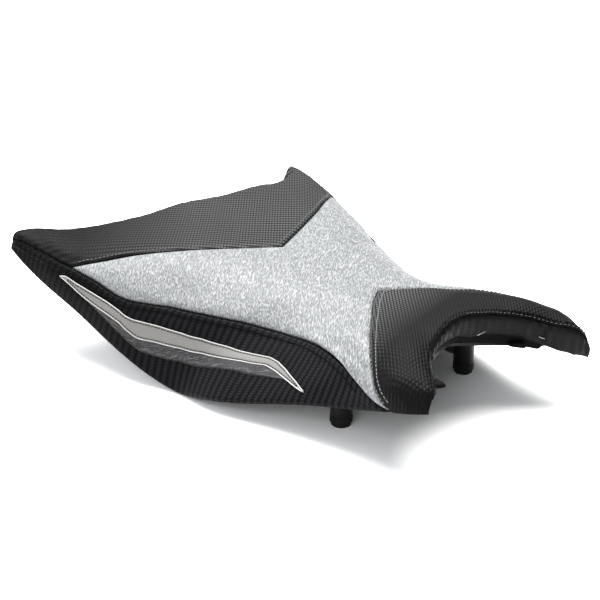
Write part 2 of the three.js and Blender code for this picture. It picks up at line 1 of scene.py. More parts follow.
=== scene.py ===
import sys
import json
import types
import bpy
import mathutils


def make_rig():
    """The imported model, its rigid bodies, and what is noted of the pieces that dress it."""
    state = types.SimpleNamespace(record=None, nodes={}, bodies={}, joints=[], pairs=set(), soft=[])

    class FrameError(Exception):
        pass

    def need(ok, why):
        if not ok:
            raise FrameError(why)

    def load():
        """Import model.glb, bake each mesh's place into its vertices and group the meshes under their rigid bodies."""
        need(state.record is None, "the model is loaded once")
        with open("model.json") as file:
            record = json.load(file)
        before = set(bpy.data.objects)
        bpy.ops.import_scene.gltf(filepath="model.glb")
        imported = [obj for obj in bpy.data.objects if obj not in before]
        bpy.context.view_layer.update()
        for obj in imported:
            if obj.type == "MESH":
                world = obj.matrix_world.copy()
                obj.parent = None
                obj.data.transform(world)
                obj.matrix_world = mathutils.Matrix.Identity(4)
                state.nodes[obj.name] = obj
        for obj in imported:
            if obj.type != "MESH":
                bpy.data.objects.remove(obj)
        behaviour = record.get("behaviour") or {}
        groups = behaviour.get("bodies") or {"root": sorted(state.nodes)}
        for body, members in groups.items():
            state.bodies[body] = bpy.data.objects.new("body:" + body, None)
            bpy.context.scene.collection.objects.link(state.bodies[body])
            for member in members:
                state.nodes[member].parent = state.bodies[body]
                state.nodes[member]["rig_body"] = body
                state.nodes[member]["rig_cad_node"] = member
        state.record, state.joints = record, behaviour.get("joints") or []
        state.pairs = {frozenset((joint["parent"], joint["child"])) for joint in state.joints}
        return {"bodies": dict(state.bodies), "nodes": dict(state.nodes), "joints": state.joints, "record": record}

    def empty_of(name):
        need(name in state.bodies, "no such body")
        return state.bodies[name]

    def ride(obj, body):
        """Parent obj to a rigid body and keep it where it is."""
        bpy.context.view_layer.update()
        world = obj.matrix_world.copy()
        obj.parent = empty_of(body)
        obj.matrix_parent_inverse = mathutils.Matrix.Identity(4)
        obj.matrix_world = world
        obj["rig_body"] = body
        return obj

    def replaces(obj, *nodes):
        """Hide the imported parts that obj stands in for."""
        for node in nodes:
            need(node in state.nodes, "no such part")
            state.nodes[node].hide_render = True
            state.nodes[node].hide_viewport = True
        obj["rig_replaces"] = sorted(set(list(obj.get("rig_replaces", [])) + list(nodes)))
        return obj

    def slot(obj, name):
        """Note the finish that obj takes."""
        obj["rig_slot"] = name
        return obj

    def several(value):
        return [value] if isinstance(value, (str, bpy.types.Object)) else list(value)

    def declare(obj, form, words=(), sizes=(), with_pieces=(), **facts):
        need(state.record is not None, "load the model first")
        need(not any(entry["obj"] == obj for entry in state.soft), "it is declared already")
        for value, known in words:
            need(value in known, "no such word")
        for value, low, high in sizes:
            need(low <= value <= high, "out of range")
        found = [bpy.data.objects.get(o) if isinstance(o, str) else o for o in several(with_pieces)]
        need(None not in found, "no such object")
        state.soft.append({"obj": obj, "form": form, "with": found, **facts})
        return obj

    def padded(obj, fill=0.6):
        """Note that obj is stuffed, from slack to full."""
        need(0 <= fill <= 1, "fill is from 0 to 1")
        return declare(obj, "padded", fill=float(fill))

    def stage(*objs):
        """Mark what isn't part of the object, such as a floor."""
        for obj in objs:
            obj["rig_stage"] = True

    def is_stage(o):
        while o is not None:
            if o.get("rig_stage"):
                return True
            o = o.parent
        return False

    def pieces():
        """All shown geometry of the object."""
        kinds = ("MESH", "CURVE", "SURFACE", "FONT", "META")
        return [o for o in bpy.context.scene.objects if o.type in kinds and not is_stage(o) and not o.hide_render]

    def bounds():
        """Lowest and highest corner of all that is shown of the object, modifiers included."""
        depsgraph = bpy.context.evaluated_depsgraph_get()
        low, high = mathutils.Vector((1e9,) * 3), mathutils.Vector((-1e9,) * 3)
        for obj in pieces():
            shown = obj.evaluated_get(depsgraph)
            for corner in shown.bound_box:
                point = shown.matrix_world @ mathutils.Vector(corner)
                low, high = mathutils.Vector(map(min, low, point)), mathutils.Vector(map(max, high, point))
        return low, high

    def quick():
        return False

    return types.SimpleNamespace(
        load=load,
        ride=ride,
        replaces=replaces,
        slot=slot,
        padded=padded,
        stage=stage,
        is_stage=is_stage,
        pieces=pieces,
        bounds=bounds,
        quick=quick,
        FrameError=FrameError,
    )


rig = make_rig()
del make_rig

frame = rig.load()
import bpy, json, math
import numpy as np
from mathutils import Matrix, Vector

def corners(b):
    return [[round(float(v), 6) for v in c] for c in b]
CAD_BOX = corners(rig.bounds())
RNG = np.random.default_rng(7)
OX = 109.845

# ------------------------------------------------------------------ outer surface (mm, post line at x = 0)
ROWS = [
    [(-303, 0, 97.5), (-301.3, 23.4, 97), (-299.9, 46.8, 96.2), (-301.5, 70.2, 95.9), (-304, 93.6, 95.9), (-308.5, 116.6, 96.4), (-316.4, 138.5, 98.8), (-324.2, 160.3, 100.9), (-329, 175, 87)],
    [(-281, 0, 96), (-280.8, 23.8, 96), (-281.3, 47.5, 96), (-283, 71.2, 96), (-285.9, 94.8, 96.1), (-290.9, 118, 96.4), (-297.9, 140.6, 98.1), (-305.4, 162.8, 96.4), (-308, 174.7, 77.5)],
    [(-252, 0, 94.6), (-252.4, 23.8, 94.9), (-253.4, 47.6, 95.7), (-254.8, 71.3, 96.7), (-257, 95, 97), (-260.4, 118.5, 95.9), (-265.1, 141.6, 92.9), (-271.3, 163, 85.5), (-278, 171.5, 64.5)],
    [(-222, 0, 94.3), (-221.9, 23.7, 95), (-222.1, 47.4, 96.2), (-223, 71, 97), (-225, 94.6, 96.6), (-227.8, 117.9, 93.1), (-230, 139.6, 84.2), (-235, 157.2, 70.3), (-243, 165, 49.4)],
    [(-190, 0, 93.2), (-189.9, 23.7, 94), (-190.2, 47.4, 95.4), (-191.5, 71.1, 95.9), (-192.8, 94.7, 93.7), (-194.5, 116.7, 85.3), (-196.4, 136.5, 72.4), (-200.3, 151.3, 54.8), (-206, 160, 33.5)],
    [(-160, 0, 92), (-159.9, 23.6, 92.6), (-160.2, 47.1, 93.2), (-161, 70.6, 91.9), (-161.8, 93.3, 85.9), (-162.8, 113.1, 73.3), (-164.9, 131.9, 59.8), (-167.5, 143.5, 39.4), (-170, 153, 18)],
    [(-130, 0, 90), (-130, 23.2, 90.3), (-130, 46.3, 89.7), (-130, 69.1, 85.8), (-130, 90.2, 76.6), (-130, 109.9, 64.5), (-131.1, 122.9, 45.5), (-132.5, 132.4, 24.4), (-134, 141, 3)],
    [(-98, 0, 88.2), (-98, 21.4, 88.2), (-98, 42.8, 87), (-98, 63.7, 82.5), (-97.9, 82.7, 72.7), (-98, 98.6, 58.3), (-98, 113, 42.4), (-98, 127.1, 26.3), (-98, 141, 10)],
    [(-66, 0, 87), (-66.1, 19.7, 87), (-65.6, 39.3, 85.7), (-64.7, 57.6, 79.5), (-63.7, 73.5, 69.2), (-61.4, 88.9, 57.2), (-61.8, 103.9, 44.4), (-62.8, 118.5, 31.2), (-64, 133, 18)],
    [(-38, 0, 86.4), (-37.5, 18.2, 86.6), (-36.5, 36.3, 85.6), (-34.7, 52.6, 78.8), (-31.4, 68, 71.9), (-28.8, 83.8, 63.3), (-29.6, 96.7, 50.5), (-31.6, 109.6, 37.8), (-34, 122.5, 25.2)],
    [(-10, 0, 86.3), (-9.1, 16.8, 86.6), (-7.4, 33.5, 86.7), (-4.9, 49.6, 82.4), (-0.7, 65.2, 79.1), (3.7, 80.3, 72.6), (6.5, 92.5, 61.3), (5.7, 102.9, 48), (4, 112.5, 34.2)],
    [(15, 0, 87), (16.6, 15.7, 87.3), (20.4, 31.1, 87.5), (25.2, 46.3, 87.7), (31.2, 61.6, 86.1), (37.3, 76, 81.2), (41.2, 89.1, 71.7), (43, 97.5, 57.2), (44, 105.5, 43.5)],
    [(37, 0, 88.7), (38.7, 15.4, 88.7), (43.3, 30.2, 88.2), (50.1, 44.2, 87.5), (58.3, 57.7, 87.1), (66.7, 71.8, 85.1), (72.3, 86.4, 78.9), (76, 99.9, 69.8), (80, 104, 52.2)],
    [(57, 0, 91.2), (58.7, 14.6, 89.9), (62.6, 28.7, 87.5), (68.2, 42.2, 84.7), (75.8, 54.5, 81.5), (85.5, 65.1, 77.8), (96.9, 74.2, 75), (107, 85.8, 72.1), (109.5, 93.7, 58.6)]
]
SEAM = [(0, 7.72), (0.464, 7.485), (1.031, 7.298), (1.576, 7.057), (1.968, 6.912), (2.346, 6.741), (2.709, 6.648), (3.153, 6.513), (3.614, 6.46), (3.978, 6.318), (4.213, 6.19), (4.654, 5.849), (5.236, 5.344), (5.921, 4.965), (6.463, 4.78), (6.974, 4.637), (7.444, 4.577), (8, 4.543), (8.682, 4.678), (9.278, 4.961), (9.9, 5.476), (10.489, 6.18), (11.001, 6.944), (11.72, 7.8), (12.05, 8)]
CHEVRON = [(5.145, 0), (4.969, 0.416), (4.752, 0.934), (4.419, 1.799), (4.164, 2.471), (3.782, 3.447), (3.357, 4.36), (3.078, 4.963), (2.793, 5.571), (2.535, 6.171), (2.346, 6.741)]
NOSE = [(9.178, 0), (9.298, 0.348), (9.714, 1.336), (10.157, 2.379), (10.52, 3.538), (10.74, 4.481), (10.945, 5.315), (11.183, 6.095), (11.432, 6.784), (11.619, 7.272), (11.834, 7.699), (12.05, 8)]
LIGHT_UP = [(2.269, 7.302), (2.409, 7.146), (2.713, 7.095), (3.16, 6.972), (3.618, 6.844), (4.041, 6.779), (4.242, 6.788), (4.495, 6.707), (4.825, 6.505), (5.209, 6.26), (5.707, 5.98), (6.25, 5.794), (6.979, 5.776), (7.35, 5.824), (7.891, 5.814), (8.187, 5.827), (8.513, 6.004), (8.882, 6.35), (9.407, 6.984), (9.774, 7.505)]
LIGHT_LO = [(2.271, 7.308), (2.553, 7.299), (2.936, 7.326), (3.305, 7.294), (3.785, 7.2), (4.202, 7.135), (4.405, 7.176), (4.732, 7.165), (4.869, 7.105), (5.233, 6.833), (5.845, 6.461), (6.408, 6.3), (7.017, 6.285), (7.56, 6.238), (7.781, 6.244), (8.206, 6.222), (8.629, 6.481), (9.102, 6.896), (9.516, 7.314), (9.758, 7.539)]
DARK_LO = [(2.932, 7.341), (3.62, 7.393), (4.158, 7.439), (4.673, 7.478), (4.976, 7.475), (5.217, 7.328), (5.953, 6.89), (6.89, 6.752), (7.401, 6.696), (7.984, 6.751), (8.622, 6.819), (8.9, 6.826)]
PAN_Z = [76, 74, 70, 65, 60, 55, 51, 49, 49, 51, 54, 57, 60, 63]
NET = np.array(ROWS, float)
NR, NC = NET.shape[:2]
TM = NC - 1
FULL = np.concatenate([NET[:, :0:-1] * [1, -1, 1], NET], axis=1)


def spline_matrix(n):
    A = np.zeros((n, n)); B = np.zeros((n, n)); A[0, 0] = A[-1, -1] = 1
    for i in range(1, n - 1):
        A[i, i - 1:i + 2] = (1, 4, 1); B[i, i - 1:i + 2] = (6, -12, 6)
    return np.linalg.solve(A, B)
DR, DC = spline_matrix(NR), spline_matrix(2 * TM + 1)


def weights(x, n, D):
    x = np.clip(np.asarray(x, float), 0, n - 1)
    i = np.minimum(x.astype(int), n - 2); f = x - i
    W = np.zeros((x.size, n)); k = np.arange(x.size); ii = i.ravel(); ff = f.ravel()
    W[k, ii] += 1 - ff; W[k, ii + 1] += ff
    a = ((1 - ff) ** 3 - (1 - ff)) / 6; b = (ff ** 3 - ff) / 6
    W += a[:, None] * D[ii] + b[:, None] * D[ii + 1]
    return W.reshape(x.shape + (n,))


def S(s, t):
    s, t = np.asarray(s, float), np.asarray(t, float)
    P = np.einsum('...i,...j,ijk->...k', weights(s, NR, DR), weights(t + TM, 2 * TM + 1, DC), FULL, optimize=True)
    w = np.exp(-((np.abs(t) - 7.45) / 0.42) ** 2 - (s / 0.8) ** 2)             # square padded corners at the back
    P = P + w[..., None] * np.stack([-1.5 + 0 * t, 3.0 * np.sign(t), 1.25 - 2.75 * np.sign(t)], -1)
    P[..., 2] += 5.4 * np.exp(-((t - 8.0) / 0.6) ** 2 - ((s - 0.8) / 0.62) ** 2)
    P[..., 2] -= 11.5 * np.exp(-((t - 6.3) / np.where(t < 6.3, 1.28, 0.36)) ** 2 - (s / 0.62) ** 2)     # the dip beside the far one
    w = np.exp(-((NR - 1 - s) / 0.9) ** 2 - ((TM - t) / 0.8) ** 2)              # the pointed end of that side's horn
    P = P + w[..., None] * np.array([3.2, 3.2, -4.2])
    return P


def unit(v):
    return v / np.maximum(np.linalg.norm(v, axis=-1, keepdims=True), 1e-9)


def N(s, t):
    e = 0.02
    s0, s1 = np.clip(s - e, 0, NR - 1), np.clip(s + e, 0, NR - 1)
    t0, t1 = np.clip(t - e, -TM, TM), np.clip(t + e, -TM, TM)
    return unit(np.cross(S(s1, t) - S(s0, t), S(s, t1) - S(s, t0)))


def smooth_curve(T, k=2.2, n=400):
    """table of [row, column] points to a dense smooth polyline, evenly spaced, ends kept"""
    T = np.array(T, float)
    L = np.r_[0, np.cumsum(np.linalg.norm(np.diff(T, axis=0), axis=1))]
    l = np.linspace(0, L[-1], n)
    P = np.stack([np.interp(l, L, T[:, c]) for c in (0, 1)], 1)
    w = max(int(n * k / 100), 1)
    ker = np.hanning(2 * w + 3)[1:-1]; ker /= ker.sum()
    pad = len(ker) // 2
    Q = np.concatenate([2 * P[0] - P[1:pad + 1][::-1], P, 2 * P[-1] - P[-pad - 1:-1][::-1]])
    P2 = np.stack([np.convolve(Q[:, c], ker, 'valid') for c in (0, 1)], 1)
    P2[0], P2[-1] = T[0], T[-1]
    L = np.r_[0, np.cumsum(np.linalg.norm(np.diff(P2, axis=0), axis=1))]
    return P2, L / L[-1]


class Curve:
    def __init__(self, T, k=2.2):
        self.P, self.f = smooth_curve(T, k)

    def __call__(self, f):
        f = np.asarray(f, float)
        return np.stack([np.interp(f, self.f, self.P[:, c]) for c in (0, 1)], -1)

    def between(self, s0, s1):
        m = (self.P[:, 0] >= s0 - 1e-6) & (self.P[:, 0] <= s1 + 1e-6)
        c = Curve.__new__(Curve)
        P = self.P[m]
        t = [np.interp(s, self.P[:, 0], self.P[:, 1]) for s in (s0, s1)]
        P = np.concatenate([[[s0, t[0]]], P, [[s1, t[1]]]])
        L = np.r_[0, np.cumsum(np.linalg.norm(np.diff(P, axis=0), axis=1))]
        c.P, c.f = P, L / L[-1]
        return c


def line(a, b):
    a, b = np.array(a, float), np.array(b, float)
    return lambda f: a + (b - a) * np.asarray(f, float)[..., None]


def coons(a, b, c, d, u, v):
    """a: v=0, b: v=1 (both along u); c: u=0, d: u=1 (both along v)"""
    U, V = u[..., None], v[..., None]
    z, o = np.zeros_like(u), np.ones_like(u)
    return ((1 - V) * a(u) + V * b(u) + (1 - U) * c(v) + U * d(v)
            - ((1 - U) * (1 - V) * a(z) + U * (1 - V) * a(o) + (1 - U) * V * b(z) + U * V * b(o)))


C_SEAM, C_CHEV, C_NOSE = Curve(SEAM), Curve(CHEVRON, 3), Curve(NOSE, 3)
S_CH = CHEVRON[-1][0]
SEAM_REAR, SEAM_FRONT = C_SEAM.between(0, S_CH), C_SEAM.between(S_CH, SEAM[-1][0])
C_CHEV.P[-1] = SEAM_REAR.P[-1]; C_NOSE.P[-1] = SEAM_FRONT.P[-1]
A_CH, A_N, END = CHEVRON[0][0], NOSE[0][0], SEAM_FRONT.P[-1]

# ------------------------------------------------------------------ mesh helpers
MATS = {}


def arc(P, axis):
    d = np.linalg.norm(np.diff(P, axis=axis), axis=-1)
    return np.concatenate([np.zeros_like(np.take(d, [0], axis)), np.cumsum(d, axis)], axis)


def grid_normals(P):
    return unit(np.cross(np.gradient(P, axis=0), np.gradient(P, axis=1)))


def to_m(P):
    P = np.asarray(P, float).reshape(-1, 3).copy()
    P[:, 0] += OX
    return P * 0.001


def new_object(name, verts_mm, faces, mat, smooth=True, uvs=None, body="root", slot=None):
    me = bpy.data.meshes.new(name)
    me.from_pydata(to_m(verts_mm).tolist(), [], [tuple(int(i) for i in f) for f in faces])
    me.validate()
    if uvs is not None:
        uv = me.uv_layers.new(name="UVMap")
        idx = np.zeros(len(me.loops), np.int32); me.loops.foreach_get("vertex_index", idx)
        uv.data.foreach_set("uv", np.asarray(uvs, np.float32)[idx].ravel())
    me.polygons.foreach_set("use_smooth", [smooth] * len(me.polygons))
    me.materials.append(mat)
    ob = bpy.data.objects.new(name, me)
    bpy.context.scene.collection.objects.link(ob)
    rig.ride(ob, body)
    if slot:
        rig.slot(ob, slot)
    return ob


def grid_faces(nu, nv, base=0, flip=False):
    i, j = np.meshgrid(np.arange(nu), np.arange(nv), indexing='ij')
    a = base + i * (nv + 1) + j
    q = np.stack([a, a + nv + 1, a + nv + 2, a + 1], -1).reshape(-1, 4)
    return q[:, ::-1] if flip else q


def closed_sheet(name, P, mat, thick=1.2, uv=None, slot=None, flip=False, Nn=None, ref=None):
    """grid of points to a closed skin: outer sheet, inner sheet 'thick' behind it, and the rim"""
    nu, nv = P.shape[0] - 1, P.shape[1] - 1
    n = grid_normals(P) if Nn is None else Nn
    if flip:
        n = -n
    if ref is not None and np.median(np.sum(n * np.asarray(ref), -1)) < 0:      # outward side by a known direction
        n = -n
    Q = P - n * thick
    V = np.concatenate([P.reshape(-1, 3), Q.reshape(-1, 3)])
    m = (nu + 1) * (nv + 1)
    F = [grid_faces(nu, nv, 0, flip), grid_faces(nu, nv, m, not flip)]
    rim = []
    for i in range(nu):
        a, b = i * (nv + 1), (i + 1) * (nv + 1)
        rim.append((a, a + m, b + m, b)); rim.append((b + nv, b + nv + m, a + nv + m, a + nv))
    for j in range(nv):
        rim.append((j + 1, j + 1 + m, j + m, j)); k = nu * (nv + 1)
        rim.append((k + j, k + j + m, k + j + 1 + m, k + j + 1))
    rim = np.array(rim)
    if flip:
        rim = rim[:, ::-1]
    F = np.concatenate(F + [rim])
    if uv is None:
        uv = np.stack([arc(P, 0), arc(P, 1)], -1)
    uv = uv.reshape(-1, 2) * 0.01
    ob = new_object(name, V, F, mat, uvs=np.concatenate([uv, uv]), slot=slot)
    me = ob.data
    # recalculate the face normals so they point outward consistently
    import bmesh
    bm = bmesh.new(); bm.from_mesh(me)
    bmesh.ops.recalc_face_normals(bm, faces=bm.faces)
    bm.to_mesh(me); bm.free()
    return ob


def resample(P, pitch=None, n=None, extra=()):
    L = np.r_[0, np.cumsum(np.linalg.norm(np.diff(P, axis=0), axis=1))]
    if n is None:
        n = max(int(round(L[-1] / pitch)), 2) + 1
    l = np.linspace(0, L[-1], n)
    out = [np.stack([np.interp(l, L, A[:, k]) for k in range(3)], 1) for A in (P, *extra)]
    return out if extra else out[0]


def tube(P, Nn, r, seg=8, flat=1.0, taper=0, closed_ends=True):
    """verts, faces of a tube along P; Nn is the surface normal there; flat squashes it along the normal"""
    T = unit(np.gradient(P, axis=0)); Nn = unit(Nn - T * np.sum(Nn * T, 1, keepdims=True)); B = np.cross(T, Nn)
    a = np.linspace(0, 2 * np.pi, seg, endpoint=False)
    rr = np.full(len(P), float(r))
    if taper:
        k = np.minimum(np.arange(len(P)), np.arange(len(P))[::-1]) / taper
        rr *= np.sqrt(np.clip(1 - (1 - np.clip(k, 0, 1)) ** 2, 0.04, 1))
    V = P[:, None] + rr[:, None, None] * (np.cos(a)[None, :, None] * B[:, None] + flat * np.sin(a)[None, :, None] * Nn[:, None])
    n = len(P); F = []
    for i in range(n - 1):
        for j in range(seg):
            F.append((i * seg + j, i * seg + (j + 1) % seg, (i + 1) * seg + (j + 1) % seg, (i + 1) * seg + j))
    F = [f[::-1] for f in F]
    V = V.reshape(-1, 3)
    if closed_ends:
        F.append(tuple(range(seg))); F.append(tuple(range((n - 1) * seg, n * seg))[::-1])
    return V, F


class Bag:
    """collects many small closed shapes into one object"""
    def __init__(self):
        self.V, self.F, self.n = [], [], 0

    def add(self, V, F):
        self.V.append(V); self.F += [tuple(i + self.n for i in f) for f in F]; self.n += len(V)

    def make(self, name, mat, slot=None):
        if not self.n:
            return None
        return new_object(name, np.concatenate(self.V), self.F, mat, slot=slot)


def stitches(bag, P, Nn, pitch=3.6, length=2.7, r=0.38, sink=0.05, jitter=0.12):
    """one thread stitch every pitch along P: short rounded strands whose ends dip into the cover"""
    L = np.r_[0, np.cumsum(np.linalg.norm(np.diff(P, axis=0), axis=1))]
    k = int(L[-1] / pitch)
    at = lambda l: (np.array([np.interp(l, L, P[:, c]) for c in range(3)]), unit(np.array([np.interp(l, L, Nn[:, c]) for c in range(3)])))
    for i in range(k):
        l0 = (i + 0.5) * pitch + RNG.uniform(-jitter, jitter)
        pts, nn = [], []
        for q, dz in ((-0.5, -0.9), (-0.42, 0.1), (-0.2, 0.55), (0.2, 0.55), (0.42, 0.1), (0.5, -0.9)):
            p, n = at(np.clip(l0 + q * length, 0, L[-1])); pts.append(p + n * (dz * r - sink)); nn.append(n)
        V, F = tube(np.array(pts), np.array(nn), r, seg=6)
        bag.add(V, F)


# ------------------------------------------------------------------ panels
def half_patch(a, b, c, d, nu, nv, bias=0.0):
    """grid of [row, column] over both halves: first index right to left, second rear to front"""
    u = np.abs(np.linspace(-1, 1, 2 * nu + 1)); sg = np.sign(np.linspace(-1, 1, 2 * nu + 1))
    v = np.linspace(0, 1, nv + 1)
    U, V = np.meshgrid(u, v, indexing='ij')
    st = coons(a, b, c, d, U, V)
    st[..., 1] *= np.where(sg == 0, 1, sg)[:, None]
    return st


def edge_distance(P, sides):
    """distance in mm from each grid point to the named borders, along the grid lines"""
    au, av = arc(P, 0), arc(P, 1)
    D = {"u0": au, "u1": au[-1:] - au, "v0": av, "v1": av[:, -1:] - av}
    return {k: D[k] for k in sides}


def valley(d, h, w):
    return -h * np.exp(-(d / w) ** 1.6)


def puffed(st, sides, puff=1.1, puff_w=16, h=1.5, w=2.0, bulge=None):
    P = S(st[..., 0], st[..., 1]); n = N(st[..., 0], st[..., 1])
    D = edge_distance(P, sides)
    dm = np.min(np.stack(list(D.values())), 0)
    off = 0.9 + puff * (1 - np.exp(-dm / puff_w))
    for k, d in D.items():
        off = off + valley(d, h, w)
    off = np.maximum(off, 0.9 - h * 1.15)
    if bulge is not None:
        off = off + bulge(dm, P)
    return P + n * off[..., None], n, D


def cloth_lift(name, P, n, cap, pressure=3.0, nu=64, nv=36, seed=0):
    """How far a stretched cover swells over its foam: cloth pinned along its seams, blown up by
    pressure with gravity off, on a coarse copy of the panel. Gives the lift at every fine grid point."""
    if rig.quick():
        return np.zeros(P.shape[:2])
    iu = np.unique(np.linspace(0, P.shape[0] - 1, nu + 1).astype(int)); iv = np.unique(np.linspace(0, P.shape[1] - 1, nv + 1).astype(int))
    C, n0 = P[np.ix_(iu, iv)], n[np.ix_(iu, iv)]
    a, b = len(iu), len(iv)
    rng = np.random.default_rng(seed + 11)
    C0 = C + n0 * rng.normal(0, 0.12, (a, b, 1))
    me = bpy.data.meshes.new(name + "_cloth")
    me.from_pydata([tuple(v) for v in to_m(C0.reshape(-1, 3))], [], [tuple(int(i) for i in f) for f in grid_faces(a - 1, b - 1)])
    ob = bpy.data.objects.new(name + "_cloth", me); bpy.context.scene.collection.objects.link(ob)
    g = ob.vertex_groups.new(name="pin")
    k = np.arange(a * b).reshape(a, b); rim = np.unique(np.r_[k[0], k[-1], k[:, 0], k[:, -1]])
    g.add([int(i) for i in rim], 1.0, 'REPLACE')
    m = ob.modifiers.new("cloth", 'CLOTH'); c = m.settings
    c.vertex_group_mass = "pin"; c.quality = 6; c.mass = 0.25; c.tension_stiffness = 12; c.compression_stiffness = 12
    c.shear_stiffness = 5; c.bending_stiffness = 0.4; c.shrink_min = -0.012
    c.use_pressure = True; c.uniform_pressure_force = pressure
    c.effector_weights.gravity = 0.0
    m.collision_settings.use_collision = False; m.collision_settings.use_self_collision = False
    m.point_cache.frame_start = 1; m.point_cache.frame_end = 20
    for f in range(1, 21):
        bpy.context.scene.frame_set(f)
    e = ob.evaluated_get(bpy.context.evaluated_depsgraph_get()).to_mesh()
    X = np.empty(len(e.vertices) * 3); e.vertices.foreach_get("co", X)
    X = X.reshape(a, b, 3) * 1000
    org = np.array(to_m(np.zeros((1, 3))))[0] * 1000
    d = np.sum((X - org - C) * n0, -1)
    bpy.context.scene.frame_set(1)
    bpy.data.objects.remove(ob, do_unlink=True); bpy.data.meshes.remove(me)
    if not np.isfinite(d).all():
        return np.zeros(P.shape[:2])
    if np.median(d) < 0:
        d = -d
    d = cap * np.tanh(d / cap)                       # the cap on how far a point may move
    u, v = np.arange(P.shape[0]), np.arange(P.shape[1])
    d = np.stack([np.interp(u, iu, d[:, j]) for j in range(b)], 1)
    d = np.stack([np.interp(v, iv, d[i]) for i in range(len(u))], 0)
    for _ in range(2):
        q = np.pad(d, 1, mode='edge'); d = (q[:-2, 1:-1] + q[2:, 1:-1] + q[1:-1, :-2] + q[1:-1, 2:] + 2 * d) / 6
    return d


def full_uv(P):
    return np.stack([P[..., 0], P[..., 1]], -1)


# ------------------------------------------------------------------ materials
class NB:
    def __init__(self, name):
        m = bpy.data.materials.new(name); m.use_nodes = True
        self.m, self.nt = m, m.node_tree
        self.b = self.nt.nodes["Principled BSDF"]

    def node(self, t, **kw):
        n = self.nt.nodes.new(t)
        for k, v in kw.items():
            setattr(n, k, v)
        return n

    def put(self, sock, v):
        if isinstance(v, (int, float)):
            sock.default_value = v
        elif isinstance(v, (tuple, list)):
            sock.default_value = v
        else:
            self.nt.links.new(v, sock)

    def math(self, op, a, b=None, c=None, clamp=False):
        n = self.node("ShaderNodeMath", operation=op); n.use_clamp = clamp
        self.put(n.inputs[0], a)
        if b is not None: self.put(n.inputs[1], b)
        if c is not None: self.put(n.inputs[2], c)
        return n.outputs[0]

    def mix(self, f, a, b):
        n = self.node("ShaderNodeMix", data_type='RGBA'); n.clamp_factor = True
        self.put(n.inputs[0], f); self.put(n.inputs[6], a); self.put(n.inputs[7], b)
        return n.outputs[2]

    def uv(self):
        n = self.node("ShaderNodeUVMap"); n.uv_map = "UVMap"
        return n.outputs[0]

    def obj(self):
        return self.node("ShaderNodeTexCoord").outputs["Object"]

    def mapping(self, v, scale=(1, 1, 1), rot=(0, 0, 0)):
        n = self.node("ShaderNodeMapping"); self.put(n.inputs["Vector"], v)
        n.inputs["Scale"].default_value = scale; n.inputs["Rotation"].default_value = rot
        return n.outputs[0]

    def noise(self, v, scale, detail=3, rough=0.55, dist=0.0):
        n = self.node("ShaderNodeTexNoise"); self.put(n.inputs["Vector"], v)
        n.inputs["Scale"].default_value = scale; n.inputs["Detail"].default_value = detail
        n.inputs["Roughness"].default_value = rough; n.inputs["Distortion"].default_value = dist
        return n.outputs[0]

    def voronoi(self, v, scale, feature='F1', rand=1.0):
        n = self.node("ShaderNodeTexVoronoi", feature=feature); self.put(n.inputs["Vector"], v)
        n.inputs["Scale"].default_value = scale; n.inputs["Randomness"].default_value = rand
        return n.outputs[0]

    def ramp(self, f, stops):
        n = self.node("ShaderNodeValToRGB"); self.put(n.inputs[0], f)
        e = n.color_ramp.elements
        while len(e) < len(stops):
            e.new(0.5)
        for k, (p, c) in zip(e, stops):
            k.position = p; k.color = (c, c, c, 1) if isinstance(c, (int, float)) else (*c, 1)
        return n.outputs[0]

    def bump(self, h, strength, dist, normal=None):
        n = self.node("ShaderNodeBump"); n.inputs["Strength"].default_value = strength
        n.inputs["Distance"].default_value = dist; self.put(n.inputs["Height"], h)
        if normal is not None: self.put(n.inputs["Normal"], normal)
        return n.outputs[0]

    def out(self, color=None, rough=None, normal=None, metal=None, **sockets):
        b = self.b
        if color is not None: self.put(b.inputs["Base Color"], (*color, 1) if isinstance(color, tuple) and len(color) == 3 else color)
        if rough is not None: self.put(b.inputs["Roughness"], rough)
        if metal is not None: self.put(b.inputs["Metallic"], metal)
        if normal is not None: self.put(b.inputs["Normal"], normal)
        for k, v in sockets.items():
            b.inputs[k.replace("_", " ")].default_value = v
        return self.m


def blobs(nb, pu, pv, rot, stagger=0.0, a=0.8, b=0.8):
    """rows of raised yarns on a pu x pv mm lattice turned by rot, each column shifted by stagger"""
    uv = nb.mapping(nb.mapping(nb.uv(), (1, 1, 1), (0, 0, rot)), (100 / pu, 100 / pv, 1))
    sp = nb.node("ShaderNodeSeparateXYZ"); nb.put(sp.inputs[0], uv)
    U, V = sp.outputs[0], sp.outputs[1]
    V = nb.math('ADD', V, nb.math('MULTIPLY', nb.math('FLOORED_MODULO', nb.math('FLOOR', U), 2.0), stagger))
    hu = nb.math('POWER', nb.math('SINE', nb.math('MULTIPLY', nb.math('FRACT', U), math.pi)), a)
    hv = nb.math('POWER', nb.math('SINE', nb.math('MULTIPLY', nb.math('FRACT', V), math.pi)), b)
    return nb.math('MULTIPLY', hu, hv), hu, hv


